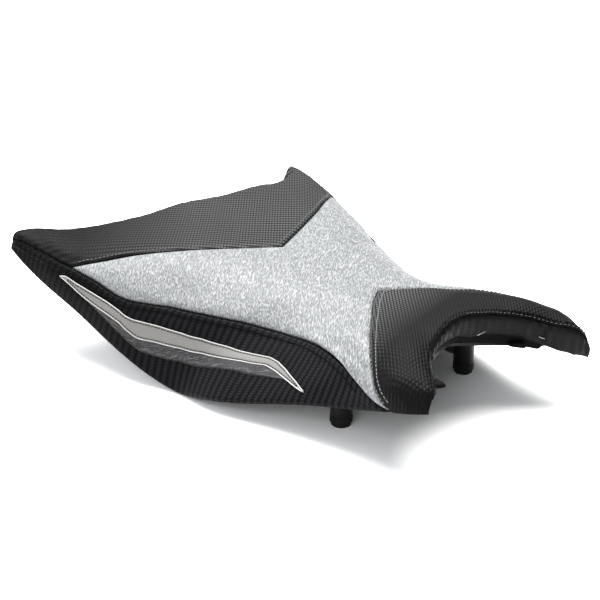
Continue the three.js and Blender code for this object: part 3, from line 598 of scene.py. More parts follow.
def mat_carbon(name, dark, light, pu=2.6, pv=5.0, rough=0.5, rot=math.radians(-48), fade=None, spec=0.2, stagger=0.0, ab=(0.8, 0.8)):
    nb = NB(name)
    h, hu, hv = blobs(nb, pu, pv, rot, stagger, *ab)
    big = nb.noise(nb.obj(), 9.0, 2)
    c = nb.mix(nb.math('POWER', h, 1.5), (*dark, 1), (*light, 1))
    fine = nb.noise(nb.obj(), 900.0, 2)
    c = nb.mix(nb.math('MULTIPLY', big, 0.25), c, (*[v * 1.35 for v in dark], 1))
    if fade:                                          # painted shade: the colour is painted darker towards one end of the panel, standing in for light falling off there
        g = nb.mapping(nb.obj(), fade[0]); sp = nb.node("ShaderNodeSeparateXYZ"); nb.put(sp.inputs[0], g)
        k = nb.math('ADD', nb.math('ADD', sp.outputs[0], sp.outputs[1]), nb.math('ADD', sp.outputs[2], fade[1]), clamp=True)
        c = nb.mix(k, c, (*fade[2], 1))
    r = nb.math('ADD', nb.math('MULTIPLY', h, -0.14), rough + 0.08)
    r = nb.math('ADD', r, nb.math('MULTIPLY', nb.math('SUBTRACT', big, 0.5), 0.12))
    n = nb.bump(fine, 0.06, 0.0004)
    n = nb.bump(h, 0.8, 0.0006, n)
    return nb.out(c, r, n, Specular_IOR_Level=spec)


def mat_twill(name):
    nb = NB(name)
    h, hu, hv = blobs(nb, 6.6, 2.7, math.radians(6), 0.5, 1.0, 0.35)
    big = nb.noise(nb.obj(), 14.0, 3)
    fine = nb.noise(nb.obj(), 1100.0, 2)
    c = nb.mix(nb.math('POWER', h, 1.6), (0.0003, 0.0003, 0.0005, 1), (0.0100, 0.0102, 0.0116, 1))
    c = nb.mix(nb.math('MULTIPLY', big, 0.3), c, (0.0016, 0.0016, 0.002, 1))
    sp = nb.node("ShaderNodeSeparateXYZ"); nb.put(sp.inputs[0], nb.obj())      # painted shade: the colour is painted darker towards the tail, standing in for light falling off there
    k = nb.math('ADD', nb.math('MULTIPLY', sp.outputs[0], -5.0), 0.05, clamp=True)
    c = nb.mix(nb.math('MULTIPLY', k, 0.75), c, (0.0004, 0.0004, 0.0005, 1))
    r = nb.math('ADD', nb.math('MULTIPLY', h, -0.12), 0.50)
    n = nb.bump(fine, 0.08, 0.0003)
    n = nb.bump(h, 0.6, 0.0005, n)
    return nb.out(c, r, n, Specular_IOR_Level=0.035)


def mat_silver(name):
    nb = NB(name)
    o = nb.obj()
    # wrinkled grain, longer along one diagonal
    g = nb.mapping(nb.mapping(o, (1, 1, 1), (0, 0, math.radians(-128))), (0.16, 1.0, 0.42))
    a = nb.noise(g, 1250.0, 0, 0.4, 0.2)
    b = nb.noise(g, 640.0, 0, 0.4, 0.15)
    h = nb.math('ADD', nb.math('MULTIPLY', a, 1.15), nb.math('ADD', nb.math('MULTIPLY', b, 0.35), -0.25))
    big = nb.noise(o, 16.0, 3)
    c = nb.ramp(h, [(0.34, (0.089, 0.094, 0.097)), (0.50, (0.130, 0.136, 0.140)), (0.62, (0.172, 0.176, 0.179)), (0.76, (0.220, 0.222, 0.223))])
    c = nb.mix(nb.math('MULTIPLY', big, 0.12), c, (0.118, 0.126, 0.131, 1))
    n = nb.bump(h, 0.7, 0.0012)
    return nb.out(c, nb.math('ADD', nb.math('MULTIPLY', big, 0.12), 0.42), n, Specular_IOR_Level=0.3)


def mat_light(name):
    nb = NB(name); o = nb.obj()
    a = nb.noise(o, 900.0, 3); big = nb.noise(o, 22.0, 3)
    p = nb.voronoi(o, 1300.0)
    c = nb.mix(nb.math('MULTIPLY', a, 0.5), (0.092, 0.090, 0.086, 1), (0.135, 0.133, 0.127, 1))
    c = nb.mix(nb.math('MULTIPLY', big, 0.35), c, (0.15, 0.148, 0.143, 1))
    n = nb.bump(p, 0.15, 0.0002); n = nb.bump(a, 0.12, 0.0003, n)
    return nb.out(c, nb.math('ADD', nb.math('MULTIPLY', a, 0.1), 0.4), n)


def mat_dark(name):
    nb = NB(name)
    g = nb.mapping(nb.uv(), (46, 9, 1), (0, 0, math.radians(-38)))
    a = nb.noise(g, 1.0, 4, 0.65, 0.5)
    b = nb.noise(nb.obj(), 500.0, 3)
    h = nb.math('ADD', nb.math('MULTIPLY', a, 0.8), nb.math('MULTIPLY', b, 0.3))
    c = nb.ramp(h, [(0.38, (0.003, 0.003, 0.0035)), (0.55, (0.014, 0.014, 0.015)), (0.72, (0.080, 0.080, 0.083))])
    n = nb.bump(h, 0.5, 0.0006)
    return nb.out(c, 0.5, n, Specular_IOR_Level=0.25)


def mat_plain(name, c0, c1, rough, grain=700.0, bump=0.2, dist=0.0003, spec=0.5, metal=0.0, big=12.0):
    nb = NB(name); o = nb.obj()
    a = nb.noise(o, grain, 3); b = nb.noise(o, big, 3)
    c = nb.mix(nb.math('ADD', nb.math('MULTIPLY', a, 0.5), nb.math('MULTIPLY', b, 0.5)), (*c0, 1), (*c1, 1))
    r = nb.math('ADD', nb.math('MULTIPLY', nb.math('SUBTRACT', b, 0.5), 0.25), rough)
    n = nb.bump(a, bump, dist)
    m = nb.out(c, r, n, Specular_IOR_Level=spec)
    nb.b.inputs["Metallic"].default_value = metal
    return m


M = {
    # painted shade on both carbon panels: the rear one is painted darker towards the back and near side, the nose one
    # towards the front and far side
    "carbon_rear": mat_carbon("carbon_vinyl_rear", (0.0026, 0.0026, 0.0026), (0.064, 0.064, 0.0653), pv=5.6, ab=(0.45, 1.4), fade=((-6.0, -8.0, 0.0), -1.06, (0.0020, 0.0020, 0.0021)), spec=0.06),
    "carbon_nose": mat_carbon("carbon_vinyl_nose", (0.0024, 0.0024, 0.0024), (0.100, 0.100, 0.1015), ab=(1.0, 1.0), pu=2.5, pv=4.2, stagger=0.5, fade=((20.0, 5.5, 0.0), -1.84, (0.0012, 0.0012, 0.0012)), spec=0.06),
    "twill": mat_twill("twill_vinyl"),
    "silver": mat_silver("silver_leather"),
    "light": mat_light("light_leather"),
    "dark": mat_dark("dark_leather"),
    # painted shade: a darker, duller copy of the pan plastic for the flange and ears that sit in shade under the skirt
    "pan_shade": mat_plain("pan_plastic_shade", (0.001, 0.001, 0.001), (0.003, 0.003, 0.003), 0.7, 900.0, 0.2, 0.0002, 0.04),
    "lining": mat_plain("cover_lining", (0.002, 0.002, 0.002), (0.005, 0.005, 0.0052), 0.46, 500.0, 0.25, 0.0004, 0.08),
    "edge_white": mat_plain("cut_edge", (0.30, 0.30, 0.29), (0.50, 0.50, 0.49), 0.6, 1500.0, 0.3, 0.0002),
    "thread_dark": mat_plain("thread_dark", (0.0008, 0.0008, 0.0009), (0.003, 0.003, 0.0032), 0.8, 2500.0, 0.3, 0.0001, 0.03),
    "thread_grey": mat_plain("thread_grey", (0.048, 0.048, 0.048), (0.085, 0.085, 0.084), 0.6, 2500.0, 0.3, 0.0001),
    "thread_light": mat_plain("thread_light", (0.070, 0.072, 0.066), (0.125, 0.125, 0.118), 0.6, 2500.0, 0.3, 0.0001),
    "pan": mat_plain("pan_plastic", (0.0016, 0.0016, 0.0016), (0.004, 0.004, 0.0041), 0.42, 260.0, 0.12, 0.0003, 0.12),
    "rubber": mat_plain("black_rubber", (0.002, 0.002, 0.002), (0.005, 0.005, 0.005), 0.65, 600.0, 0.15, 0.0003, 0.15),
    "bracket": mat_plain("bracket_steel", (0.014, 0.014, 0.015), (0.030, 0.030, 0.032), 0.42, 900.0, 0.12, 0.0002),
    "zinc": mat_plain("zinc_steel", (0.42, 0.43, 0.45), (0.62, 0.63, 0.65), 0.34, 800.0, 0.08, 0.0002, 0.5, 1.0),
    "staple": mat_plain("staple_wire", (0.22, 0.22, 0.225), (0.38, 0.38, 0.385), 0.35, 1200.0, 0.08, 0.0001, 0.5, 1.0),
    "foam": mat_plain("foam", (0.50, 0.44, 0.28), (0.66, 0.58, 0.38), 0.9, 420.0, 0.5, 0.0008, 0.2),
}

# ------------------------------------------------------------------ cover: top panels
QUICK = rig.quick()
Q = 0.6 if QUICK else 1.0
n_ = lambda k: max(int(k * Q), 4)


def roll_rows(E, T, Nn, r, angles, ext=()):
    """rows that turn an edge over: E edge points, T surface tangent pointing off the edge, Nn outward normal"""
    C = E - Nn * r
    rows = []
    for a in angles:
        a = math.radians(a)
        rows.append(C + r * (Nn * math.cos(a) + T * math.sin(a)))
    a = math.radians(angles[-1])
    d = -Nn * math.sin(a) + T * math.cos(a)
    for e in ext:
        rows.append(rows[len(angles) - 1] + d * e)
    return rows


# rear panel, with its back edge turned down into the rear wall
st = half_patch(line([0, 0], SEAM_REAR.P[0]), C_CHEV, line([0, 0], [A_CH, 0]), SEAM_REAR, n_(100), n_(70))
P, nn, D = puffed(st, ("u0", "u1", "v1"), 0.9, 18, 1.6, 2.0)
P = P + nn * cloth_lift("rear", P, nn, 0.8, seed=1)[..., None]
E = P[:, 0]; nE = nn[:, 0]; TE = unit(P[:, 0] - P[:, 1]); TE = unit(TE - nE * np.sum(TE * nE, -1, keepdims=True))
tt = np.abs(st[:, 0, 1])
rr = 5.0 * np.clip((7.3 - tt) / 1.6, 0.16, 1)[:, None]
rows = roll_rows(E, TE, nE, rr, (15, 32, 50, 70, 90))
zb = 76 + 12 * (np.abs(E[:, 1]) / 165) ** 2
for k in (0.33, 0.66, 1.0):
    q = rows[4].copy(); q[:, 2] = rows[4][:, 2] + (np.minimum(zb, rows[4][:, 2] - 2) - rows[4][:, 2]) * k; q[:, 0] += 1.5 * k; rows.append(q)
for k in (3.0, 9.0):
    q = rows[7].copy(); q[:, 2] -= 1.0; q[:, 0] += k; q[:, 1] *= 1 - k / 400; rows.append(q)
G_REAR = np.concatenate([np.stack(rows[::-1], 1), P], 1)
NR_EXTRA = len(rows)
uvr = np.stack([arc(G_REAR, 1) - arc(G_REAR, 1)[:, NR_EXTRA:NR_EXTRA + 1] + 300, np.broadcast_to(G_REAR[:, NR_EXTRA + 5:NR_EXTRA + 6, 1], G_REAR.shape[:2])], -1)
uvr = full_uv(P); uvr = np.concatenate([np.stack([np.broadcast_to(uvr[:, :1, 0], (len(P), NR_EXTRA)) - (arc(G_REAR, 1)[:, NR_EXTRA:NR_EXTRA + 1] - arc(G_REAR, 1)[:, :NR_EXTRA]),
                                              np.broadcast_to(uvr[:, :1, 1], (len(P), NR_EXTRA))], -1), uvr], 1)
nn_rear = nn
rear = closed_sheet("cover_rear", G_REAR, M["carbon_rear"], 1.2, uvr, "carbon_vinyl", ref=(0, 0, 1))
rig.replaces(rear, "cover_rear_panel", "cover_rear_skirt")

# centre panel
st = half_patch(C_CHEV, C_NOSE, line([A_CH, 0], [A_N, 0]), SEAM_FRONT, n_(80), n_(120))
G_MID, nm, DM = puffed(st, ("u0", "u1", "v0", "v1"), 1.2, 16, 1.5, 1.8)
G_MID = G_MID + nm * cloth_lift("centre", G_MID, nm, 1.0, seed=2)[..., None]
mid = closed_sheet("cover_centre", G_MID, M["silver"], 1.2, full_uv(G_MID), "silver_leather", ref=(0, 0, 1))
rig.replaces(mid, "cover_centre_panel")

# nose panel
st = half_patch(C_NOSE, line([NR - 1, 0], [NR - 1, TM]), line([A_N, 0], [NR - 1, 0]), line(END, [NR - 1, TM]), n_(110), n_(60))
P, nn2, DN = puffed(st, ("v0", "v1"), 0.8, 14, 1.5, 1.8)
P = P + nn2 * cloth_lift("nose", P, nn2, 0.8, seed=3)[..., None]
P_NOSE = P
# the panel's own bottom edges roll under at each horn
lo, hi = [], []
for i, j, out in ((0, 3, lo), (-1, -4, hi)):
    E, nE = P[i], nn2[i]; T = unit(P[i] - P[j]); T = unit(T - nE * np.sum(T * nE, -1, keepdims=True))
    w_ = np.linspace(0, 1, len(E))[:, None] ** 2.0; sg = -1 if i == 0 else 1
    E = E + T * w_ * (2.0 if sg > 0 else 0.0)
    rr_ = ([E] if sg > 0 else []) + roll_rows(E, T, nE, 1.4, (18, 38, 60, 85, 110))
    for k in (2, 2, 3):
        rr_.append(rr_[-1] + unit(np.array([0.0, -sg, 0.22])) * k * np.clip((1 - np.linspace(0, 1, len(E))[:, None]) * 5, 0.06, 1))
    out.extend(rr_)
G_NOSE = np.concatenate([np.stack(lo[::-1], 0), P, np.stack(hi, 0)], 0)
G_NOSE[..., 2] = np.maximum(G_NOSE[..., 2], 0.4)
nose = closed_sheet("cover_nose", G_NOSE, M["carbon_nose"], 1.2, full_uv(G_NOSE), "carbon_vinyl", ref=(0, 0, 1))
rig.replaces(nose, "cover_nose_panel")

# ------------------------------------------------------------------ cover: side panels
seam_t = lambda s: np.interp(s, C_SEAM.P[:, 0], C_SEAM.P[:, 1])
SIDE = {}
for side, sg in (("left", 1), ("right", -1)):
    s = np.linspace(0, END[0], n_(250) + 1); v = np.linspace(0, 1, n_(46) + 1)
    SS, VV = np.meshgrid(s, v, indexing='ij')
    TT = seam_t(SS) + (TM - seam_t(SS)) * VV
    P = S(SS, sg * TT); nn = N(SS, sg * TT)
    d0 = arc(P, 1); wdt = d0[:, -1:]
    # rolled fell below the seam: a raised band between two stitch rows
    fell = 0.5 * np.exp(-((d0 - 4.3) / 3.3) ** 4) * np.clip(wdt / 14 - 0.3, 0, 1)
    off = 0.6 * np.exp(-d0 / 20) + valley(d0, 1.5, 1.5) + fell - 0.12 * np.exp(-((d0 - 8.6) / 1.1) ** 2) * np.clip(wdt / 14 - 0.3, 0, 1) + 0.8 * (1 - np.exp(-np.maximum(d0 - 9, 0) / 14)) * np.clip((wdt - d0) / 14, 0, 1)
    P = P + nn * off[..., None]
    E, nE = P[:, -1], nn[:, -1]; T = unit(P[:, -1] - P[:, -3]); T = unit(T - nE * np.sum(T * nE, -1, keepdims=True))
    draw = (0.8 + 0.4 * np.clip((s - 2.0) / 2.5, 0, 1) * np.clip((9.5 - s) / 2.0, 0, 1) + 1.6 * np.exp(-((s - 6.7) / 0.9) ** 2)) * np.clip(wdt[:, 0] / 16, 0, 1)
    P = P - T[:, None] * (draw[:, None] * np.exp(-(wdt - d0) / 12))[..., None]
    E = P[:, -1]
    rr_s = (0.8 + 2.2 * np.clip(wdt / 14, 0, 1))
    rows = roll_rows(E, T, nE, rr_s, (18, 38, 60, 85, 110))
    inward = np.array([0.12, -sg, 0.22])
    base = rows[-1]
    for k in (3, 7, 12):
        rows.append(base + unit(inward) * k * np.clip(wdt / 14, 0.12, 1))
    G = np.concatenate([P, np.stack(rows, 1)], 1)
    G[..., 2] = np.maximum(G[..., 2], 0.3)
    SIDE[side] = (G, P, nn, d0, SS, TT)
    uv = np.stack([arc(S(SS[:, :1], sg * (SS[:, :1] * 0 + 7.3)), 0) + 0 * d0, d0], -1)
    uv = np.concatenate([uv, np.stack([np.repeat(uv[:, -1:, 0], len(rows), 1), uv[:, -1:, 1] + arc(G, 1)[:, P.shape[1]:] - arc(G, 1)[:, P.shape[1] - 1:P.shape[1]]], -1)], 1)
    ob = closed_sheet("cover_side_" + side, G, M["twill"], 1.1, uv, "twill_vinyl", flip=(sg < 0), ref=(0, sg, 0.2))
    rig.replaces(ob, "cover_side_panel_" + side, "cover_hem_" + side)

# ------------------------------------------------------------------ stripes
LU, LL, DL = Curve(LIGHT_UP, 1.2), Curve(LIGHT_LO, 1.2), Curve(DARK_LO, 1.5)
EDGES, ST_DARK, ST_GREY, ST_LIGHT = Bag(), Bag(), Bag(), Bag()


def match(cu, cl, n):
    """pairs points of two curves at the same fractions of their length"""
    f = np.linspace(0, 1, n)
    return cu(f), cl(f)


def stripe(name, cu, cl, sg, mat, slot, lift, thick, n=160, m=12, crown=0.25):
    a, b = cu, cl
    v = np.linspace(0, 1, m + 1)[None, :, None]
    st = a[:, None] * (1 - v) + b[:, None] * v
    P = S(st[..., 0], sg * st[..., 1]); nn = N(st[..., 0], sg * st[..., 1])
    w = arc(P, 1); W = w[:, -1:]
    dm = np.minimum(w, W - w)
    off = lift + 0.8 + crown * (1 - np.exp(-dm / 2.0)) - 0.3 * np.exp(-((dm - 1.6) / 0.5) ** 2)
    P = P + nn * off[..., None]
    ob = closed_sheet(name, P, mat, thick, None, slot, flip=(sg < 0), Nn=nn * (1 if sg > 0 else -1) if sg > 0 else -nn)
    return ob, P, nn


def inner_row(P, nn, dist, from_start=True):
    """the polyline at that distance inside one long edge"""
    A, B = (P, nn) if from_start else (P[:, ::-1], nn[:, ::-1])
    L = arc(A, 1); out, on = [], []
    for i in range(len(A)):
        d = min(dist, L[i, -1] * 0.42)
        out.append([np.interp(d, L[i], A[i, :, k]) for k in range(3)]); on.append([np.interp(d, L[i], B[i, :, k]) for k in range(3)])
    return np.array(out), unit(np.array(on))


for side, sg in (("left", 1), ("right", -1)):
    cu, cl = match(LU, LL, n_(200) + 1)
    ob, P, nn = stripe("stripe_light_" + side, cu, cl, sg, M["light"], "light_leather", 0.7, 0.9)
    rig.replaces(ob, "stripe_light_" + side); globals()["SL_" + side] = (P, nn)
    for first in (True, False):
        e, en = inner_row(P, nn, 0.1, first)
        e, en = resample(e, 1.6, extra=(en,))
        V, F = tube(e + en * 0.02, en, 0.32, 6, 0.8, taper=2); EDGES.add(V, F)
        e, en = inner_row(P, nn, 1.7, first)
        stitches(ST_DARK, e[6:-6], en[6:-6], 3.0, 2.1, 0.34, 0.0)
    f = np.linspace(0.16, 0.90, n_(180) + 1)
    cu, cl = LL(f), DL(np.linspace(0, 1, n_(180) + 1))
    ob, P, nn = stripe("stripe_dark_" + side, cu, cl, sg, M["dark"], "dark_leather", 0.35, 0.9)
    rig.replaces(ob, "stripe_dark_" + side)
    e, en = inner_row(P, nn, 1.5, False)
    stitches(ST_DARK, e[6:-6], en[6:-6], 3.0, 2.2, 0.3, 0.05)
# seam stitching: two rows inside the chevron, two inside the nose seam, two along the felled side seam
RP = G_REAR[:, NR_EXTRA:]
def row_on(bag, P, nn, dist, first, trim, pitch, length, r, sink=0.05, lift=0.0):
    e, en = inner_row(P, nn, dist, first)
    e, en = resample(e[trim:len(e) - trim], 1.2, extra=(en[trim:len(en) - trim],))
    stitches(bag, e + en * lift, en, pitch, length, r, sink)
rn = grid_normals(RP); rn = rn * np.sign(np.sum(rn * nn_rear, -1, keepdims=True))
row_on(ST_GREY, RP, rn, 5.8, False, n_(5), 3.6, 2.1, 0.36, 0.0)
row_on(ST_DARK, RP, rn, 2.0, False, n_(3), 3.4, 2.5, 0.34)
qn = nn2
row_on(ST_GREY, P_NOSE, qn, 2.0, True, n_(3), 3.6, 2.0, 0.36, -0.05)
row_on(ST_LIGHT, P_NOSE, qn, 7.6, True, n_(5), 3.6, 2.1, 0.42, -0.1)
hf = len(P_NOSE) // 2
row_on(ST_GREY, P_NOSE[hf:], qn[hf:], 1.5, False, n_(6), 3.6, 1.8, 0.2, 0.0)
row_on(ST_DARK, P_NOSE, qn, 4.0, False, n_(6), 3.4, 2.0, 0.34, 0.0)
for side, sg in (("left", 1), ("right", -1)):
    G, P, nn, d0, SS, TT = SIDE[side]
    k = int(P.shape[0] * 0.93)
    gn = grid_normals(P[:k]); gn = gn * np.sign(np.sum(gn * nn[:k], -1, keepdims=True))
    for d, bag, r in ((1.7, ST_DARK, 0.5), (7.4, ST_DARK, 0.5)):
        row_on(bag, P[:k], gn, d, True, n_(3), 3.2, 2.1, r, 0.0)
EDGES.make("stripe_cut_edges", M["edge_white"], "light_leather")

# ------------------------------------------------------------------ nose skirt inside the tank cut-out
t = np.linspace(-TM, TM, n_(240) + 1)
e = S(np.full_like(t, NR - 1.0), t); n13 = N(np.full_like(t, NR - 1.0), t)
dS = unit(e - S(np.full_like(t, NR - 1.12), t)); h = unit(dS * [1, 1, 0])      # out into the opening
at_ = np.abs(t) / TM
hh = (19 + 4 * np.minimum(at_ * 2, 1)) * (1 - np.where(t > 0, np.clip(at_ - 0.86, 0, 1) / 0.14 * 0.62, np.clip(at_ - 0.66, 0, 1) / 0.34 * 0.93))
hh = hh * (1 - 0.52 * np.clip((0.8 - t) / 3.0, 0, 1)) * (1 - 0.22 * np.exp(-((t - 3.6) / 2.4) ** 4))
along = np.r_[0, np.cumsum(np.linalg.norm(np.diff(e, axis=0), axis=1))]
rib = 0.65 * np.sin(along / 2.3 + 2.0 * np.sin(along / 17)) * np.sin(along / 9.1 + 1) + 0.55 * np.sin(along / 1.37 + np.sin(along / 11))
rows = []
for v in np.linspace(0, 1, 15):
    inn = -1.6 * np.exp(-(v * 14 / 1.8) ** 2) + 1.6 * math.sin(math.pi * v) ** 0.8 - 1.5 * v
    amp = math.sin(math.pi * min(v * 1.05, 1)) ** 0.6
    rows.append(e + h * (inn + rib * amp)[:, None] - np.array([0, 0, 1.0]) * (0.9 + v * hh)[:, None])
low = rows[-1]
wav = 1.2 * np.sin(along / 7.0) + 0.8 * np.sin(along / 3.1 + 2)
for k, dz in ((0.9, 1.1), (1.6, 1.4), (2.3, 1.2)):
    rows.append(low - h * (k * np.clip((1 - at_) * 6, 0.15, 1))[:, None] - np.array([0, 0, 1.0]) * (dz + 0.25 * wav)[:, None])
oks = (t > -7.25) & (t < 7.95)
G = np.stack(rows, 1)[oks]
skirt = closed_sheet("cover_nose_skirt_sewn", G, M["lining"], 1.0, None, "cover_lining", flip=True, ref=h[oks][:, None] * np.ones((1, G.shape[1], 1)))
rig.replaces(skirt, "cover_nose_skirt")

# pan: a moulded front flange that follows the cut-out under the skirt, with a notch at each horn
fz = np.interp(np.abs(t), [0, 1, 2, 3, 4, 5, 6, 7, 7.6, 8], [68, 63, 59, 56, 54, 51, 50, 50.5, 51, 51.5])
notch = np.exp(-((np.abs(t) - 5.62) / 0.42) ** 6) * 3.4
fz = fz + notch + 0.35 * np.sin(along / 11.0)
fz = np.where(t < 1, np.maximum(fz, e[:, 2] - hh - 8.5), fz)
top = e[:, 2] - 3.0 - hh * 0.72
base = e - h * 3.4
ct = base + 0; ct[:, 2] = np.maximum(top, fz + 3)
rows = [ct - h * 0.6, ct + [0, 0, -0.6]]
for k in (0.25, 0.5, 0.75):
    q = base - h * (1.0 * k); q[:, 2] = ct[:, 2] + (fz + 0.8 - ct[:, 2]) * k; rows.append(q)
for dx, dz in ((0.9, 0.8), (1.2, 0.25), (1.9, 0.0), (4.0, 0.1), (9.0, 0.8)):
    q = base - h * dx; q[:, 2] = fz + dz; rows.append(q)
ok = np.abs(t) < 6.9
G = np.stack(rows, 1)[ok]
# the flange takes the pan plastic with painted shade
flange = closed_sheet("pan_front_flange", G, M["pan_shade"], 1.6, None, "pan_plastic", flip=True, ref=h[ok][:, None] * np.ones((1, G.shape[1], 1)))

for side, sg in (("left", 1), ("right", -1)):         # pointed moulded ears inside the horns
    i = np.argmin(np.abs(t - (3.9 if sg > 0 else -5.85))); c = base[i] + (h[i] * 3.0 if sg < 0 else 0.0); z0 = 55.0 if sg > 0 else e[i, 2] - 6.5
    d = h[i]; q = np.array([-d[1], d[0], 0]) * sg
    pts = [c - d * 4 + q * -7, c + d * 2 + q * -6, c + d * 9.5 + q * 1.5, c + d * 7.0 + q * 4, c - d * 4 + q * 8]
    V, F = [], []
    for zz, gr in ((z0, 0.9), (z0 + 0.5, 1.0), (z0 + 3.0, 1.0), (z0 + 3.5, 0.88)):
        m_ = np.mean(pts, 0)
        for a_ in pts:
            v_ = m_ + (a_ - m_) * gr; V.append([v_[0], v_[1], zz + (0.9 if gr < 0.9 else 0) * 0])
    n5 = len(pts)
    for k in range(3):
        for j in range(n5):
            F.append((k * n5 + j, k * n5 + (j + 1) % n5, (k + 1) * n5 + (j + 1) % n5, (k + 1) * n5 + j))
    F.append(tuple(range(n5))[::-1]); F.append(tuple(range(3 * n5, 4 * n5)))
    pts = pts
    # the ears take the pan plastic with painted shade
    ear = new_object("pan_ear_" + side, np.array(V), F, M["pan_shade"], slot="pan_plastic", smooth=False)
    b_ = ear.modifiers.new("bevel", 'BEVEL'); b_.width = 0.0006; b_.segments = 2

POST_Y = 74.0                                         # the CAD posts stand at y = 74 mm either side
for side, sg in (("left", 1), ("right", -1)):         # moulded gusset beside each post, under the pan
    r_ = np.array([0.669, 0.743 * sg, 0.0]); q = np.array([0.743, -0.669 * sg, 0.0]); c = np.array([0.0, sg * POST_Y, 0.0])
    prof = [(-8.2, 17.0), (-12.0, 18.5), (-26.0, 25.0), (-33.0, 30.0), (-33.0, 37.5), (-8.2, 37.5)]
    V = [c + r_ * a_ + q * w_ + np.array([0, 0, z_]) for w_ in (-1.6, 1.6) for a_, z_ in prof]; m6 = len(prof)
    F = [tuple(range(m6))[::-1], tuple(range(m6, 2 * m6))] + [(j, (j + 1) % m6, m6 + (j + 1) % m6, m6 + j) for j in range(m6)]
    if sg < 0:
        F = [f[::-1] for f in F]
    gus = new_object("pan_gusset_" + side, np.array(V), F, M["pan"], slot="pan_plastic", smooth=False)
    b_ = gus.modifiers.new("bevel", 'BEVEL'); b_.width = 0.0007; b_.segments = 2

STAP = Bag()
for sg, lst in ((1, ((1.55, 0.18, 0.9), (5.25, -0.45, 0.72))), (-1, ((5.25, -0.45, 0.72),))):      # staples that hold the skirt to the flange
    for tc, tilt, fh in lst:
        i = int(np.argmin(np.abs(t - sg * tc))); d = h[i]; q = np.array([-d[1], d[0], 0])
        c = e[i] - d * 0.3 - np.array([0, 0, 1.0]) * (0.9 + hh[i] * fh)
        u_ = unit(q + np.array([0, 0, tilt]))
        pp = np.array([c - u_ * 5.2 - d * 1.5, c - u_ * 5.0 + d * 0.2, c - u_ * 4.6 + d * 0.5, c + u_ * 4.6 + d * 0.5, c + u_ * 5.0 + d * 0.2, c + u_ * 5.2 - d * 1.5])
        V, F = tube(pp, np.repeat(d[None], 6, 0), 0.34, seg=6); STAP.add(V, F)
STAP.make("skirt_staples", M["staple"], "staple_steel")

# foam core: shrunken copy of its solid, remeshed, then blown up as cloth and held inside its own space
src = frame["nodes"]["foam_cushion"]
dg = bpy.context.evaluated_depsgraph_get()
fm_ = bpy.data.meshes.new_from_object(src.evaluated_get(dg)); fm_.transform(src.matrix_world)
foam = bpy.data.objects.new("foam_core", fm_); bpy.context.scene.collection.objects.link(foam)
rm = foam.modifiers.new("remesh", 'REMESH'); rm.mode = 'VOXEL'; rm.voxel_size = 0.005
fm2 = bpy.data.meshes.new_from_object(foam.evaluated_get(bpy.context.evaluated_depsgraph_get()))
foam.modifiers.clear(); foam.data = fm2
nv = len(fm2.vertices); X0 = np.empty(nv * 3); fm2.vertices.foreach_get("co", X0); X0 = X0.reshape(-1, 3)
nn0 = np.empty(nv * 3); fm2.vertex_normals.foreach_get("vector", nn0); nn0 = nn0.reshape(-1, 3)
X1 = X0 - nn0 * 0.0018
fm2.vertices.foreach_set("co", X1.ravel()); fm2.update()
if not QUICK:
    m_ = foam.modifiers.new("cloth", 'CLOTH'); c_ = m_.settings
    c_.quality = 5; c_.mass = 0.3; c_.tension_stiffness = 15; c_.compression_stiffness = 15; c_.bending_stiffness = 1.0
    c_.use_pressure = True; c_.uniform_pressure_force = 4.0; c_.effector_weights.gravity = 0.0
    m_.collision_settings.use_collision = False
    m_.point_cache.frame_start = 1; m_.point_cache.frame_end = 20
    for f_ in range(1, 21):
        bpy.context.scene.frame_set(f_)
    e_ = foam.evaluated_get(bpy.context.evaluated_depsgraph_get()).to_mesh()
    X2 = np.empty(nv * 3); e_.vertices.foreach_get("co", X2); X2 = X2.reshape(-1, 3)
    d_ = X2 - X1; L_ = np.linalg.norm(d_, axis=1, keepdims=True)
    X1 = X1 + np.where(np.isfinite(d_), d_ * np.minimum(1, 0.0016 / np.maximum(L_, 1e-9)), 0)
    foam.modifiers.clear(); bpy.context.scene.frame_set(1)
    fm2.vertices.foreach_set("co", X1.ravel()); fm2.update()
fm2.materials.clear(); fm2.materials.append(M["foam"])
for p_ in fm2.polygons: p_.use_smooth = True
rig.ride(foam, "root"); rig.slot(foam, "foam"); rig.replaces(foam, "foam_cushion"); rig.padded(foam, fill=0.95)

# ------------------------------------------------------------------ stage, light, camera
bpy.ops.mesh.primitive_plane_add(size=14, location=(0, 0, 0))
floor = bpy.context.object; floor.name = "floor"
fm = bpy.data.materials.new("floor_white"); fm.use_nodes = True
fm.node_tree.nodes["Principled BSDF"].inputs["Base Color"].default_value = (0.93, 0.93, 0.93, 1)
fm.node_tree.nodes["Principled BSDF"].inputs["Roughness"].default_value = 0.9
fm.node_tree.nodes["Principled BSDF"].inputs["Specular IOR Level"].default_value = 0.0
floor.data.materials.append(fm)
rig.stage(floor)

sc = bpy.context.scene
w = bpy.data.worlds.new("world"); sc.world = w; w.use_nodes = True
w.node_tree.nodes["Background"].inputs[0].default_value = (0.96, 0.98, 1.0, 1)
w.node_tree.nodes["Background"].inputs[1].default_value = 0.40


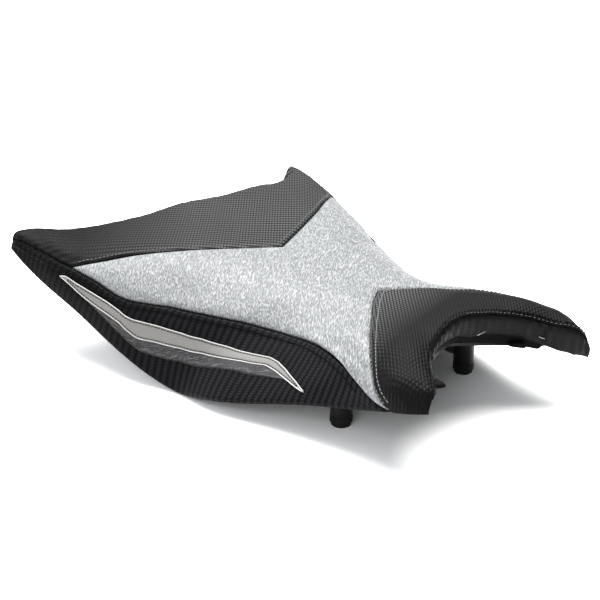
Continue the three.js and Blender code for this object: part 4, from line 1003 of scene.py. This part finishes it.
def area(name, loc, target, size, power, col=(1, 1, 1), sy=None):
    l = bpy.data.lights.new(name, 'AREA'); l.shape = 'RECTANGLE'; l.size = size; l.size_y = sy or size; l.energy = power; l.color = col
    o = bpy.data.objects.new(name, l); sc.collection.objects.link(o); o.location = loc
    d = Vector(target) - Vector(loc); o.rotation_euler = d.to_track_quat('-Z', 'Y').to_euler()
    return o
area("key", (-0.30, 0.30, 1.6), (0, 0, 0.05), 1.6, 128, (1.0, 0.995, 0.98))
area("left", (-1.3, -0.9, 0.9), (0, 0, 0.05), 1.2, 22, (0.97, 0.98, 1.0))
area("front", (0.9, -1.5, 1.0), (0, 0, 0.05), 1.0, 20, (0.98, 0.99, 1.0))

A, EL, F_PX = math.radians(48.0), math.radians(22.0), 1235.23
right = Vector((math.cos(A), math.sin(A), 0))
back = Vector((math.sin(A) * math.cos(EL), -math.cos(A) * math.cos(EL), math.sin(EL)))
up = back.cross(right)
pos = right * -87.977 + up * 81.275 + back * 1039.075 + Vector((OX, 0, 0))
cam = bpy.data.cameras.new("camera"); cam.sensor_width = 36; cam.lens = F_PX * 36 / 600; cam.clip_start = 0.05; cam.clip_end = 50
co = bpy.data.objects.new("camera", cam); sc.collection.objects.link(co)
R = Matrix((right, up, back)).transposed().to_4x4()
co.matrix_world = Matrix.Translation(pos * 0.001) @ R
sc.camera = co
sc.view_settings.view_transform = 'Standard'
sc.view_settings.look = 'None'
sc.view_settings.exposure = 0.0

# ------------------------------------------------------------------ finishes for the CAD parts that show as they are
for name, ob in frame["nodes"].items():
    k = ("pan" if name in ("seat_pan", "support_post_left", "support_post_right") else
         "rubber" if name.startswith(("rubber_tip", "grommet", "rear_buffer")) else
         "bracket" if name.startswith(("front_mount_tab", "rear_tongue")) else
         "staple" if name.startswith("staple") else
         "zinc" if name.startswith(("bolt_sleeve", "tongue_rivet")) else None)
    if k:
        ob.data.materials.clear(); ob.data.materials.append(M[k])

ST_DARK.make("stitches_dark", M["thread_dark"], "twill_vinyl")
ST_GREY.make("stitches_grey", M["thread_grey"], "carbon_vinyl")
ST_LIGHT.make("stitches_light", M["thread_light"], "carbon_vinyl")

json.dump({"cad": CAD_BOX, "visual": corners(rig.bounds())}, open("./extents.json", "w"))
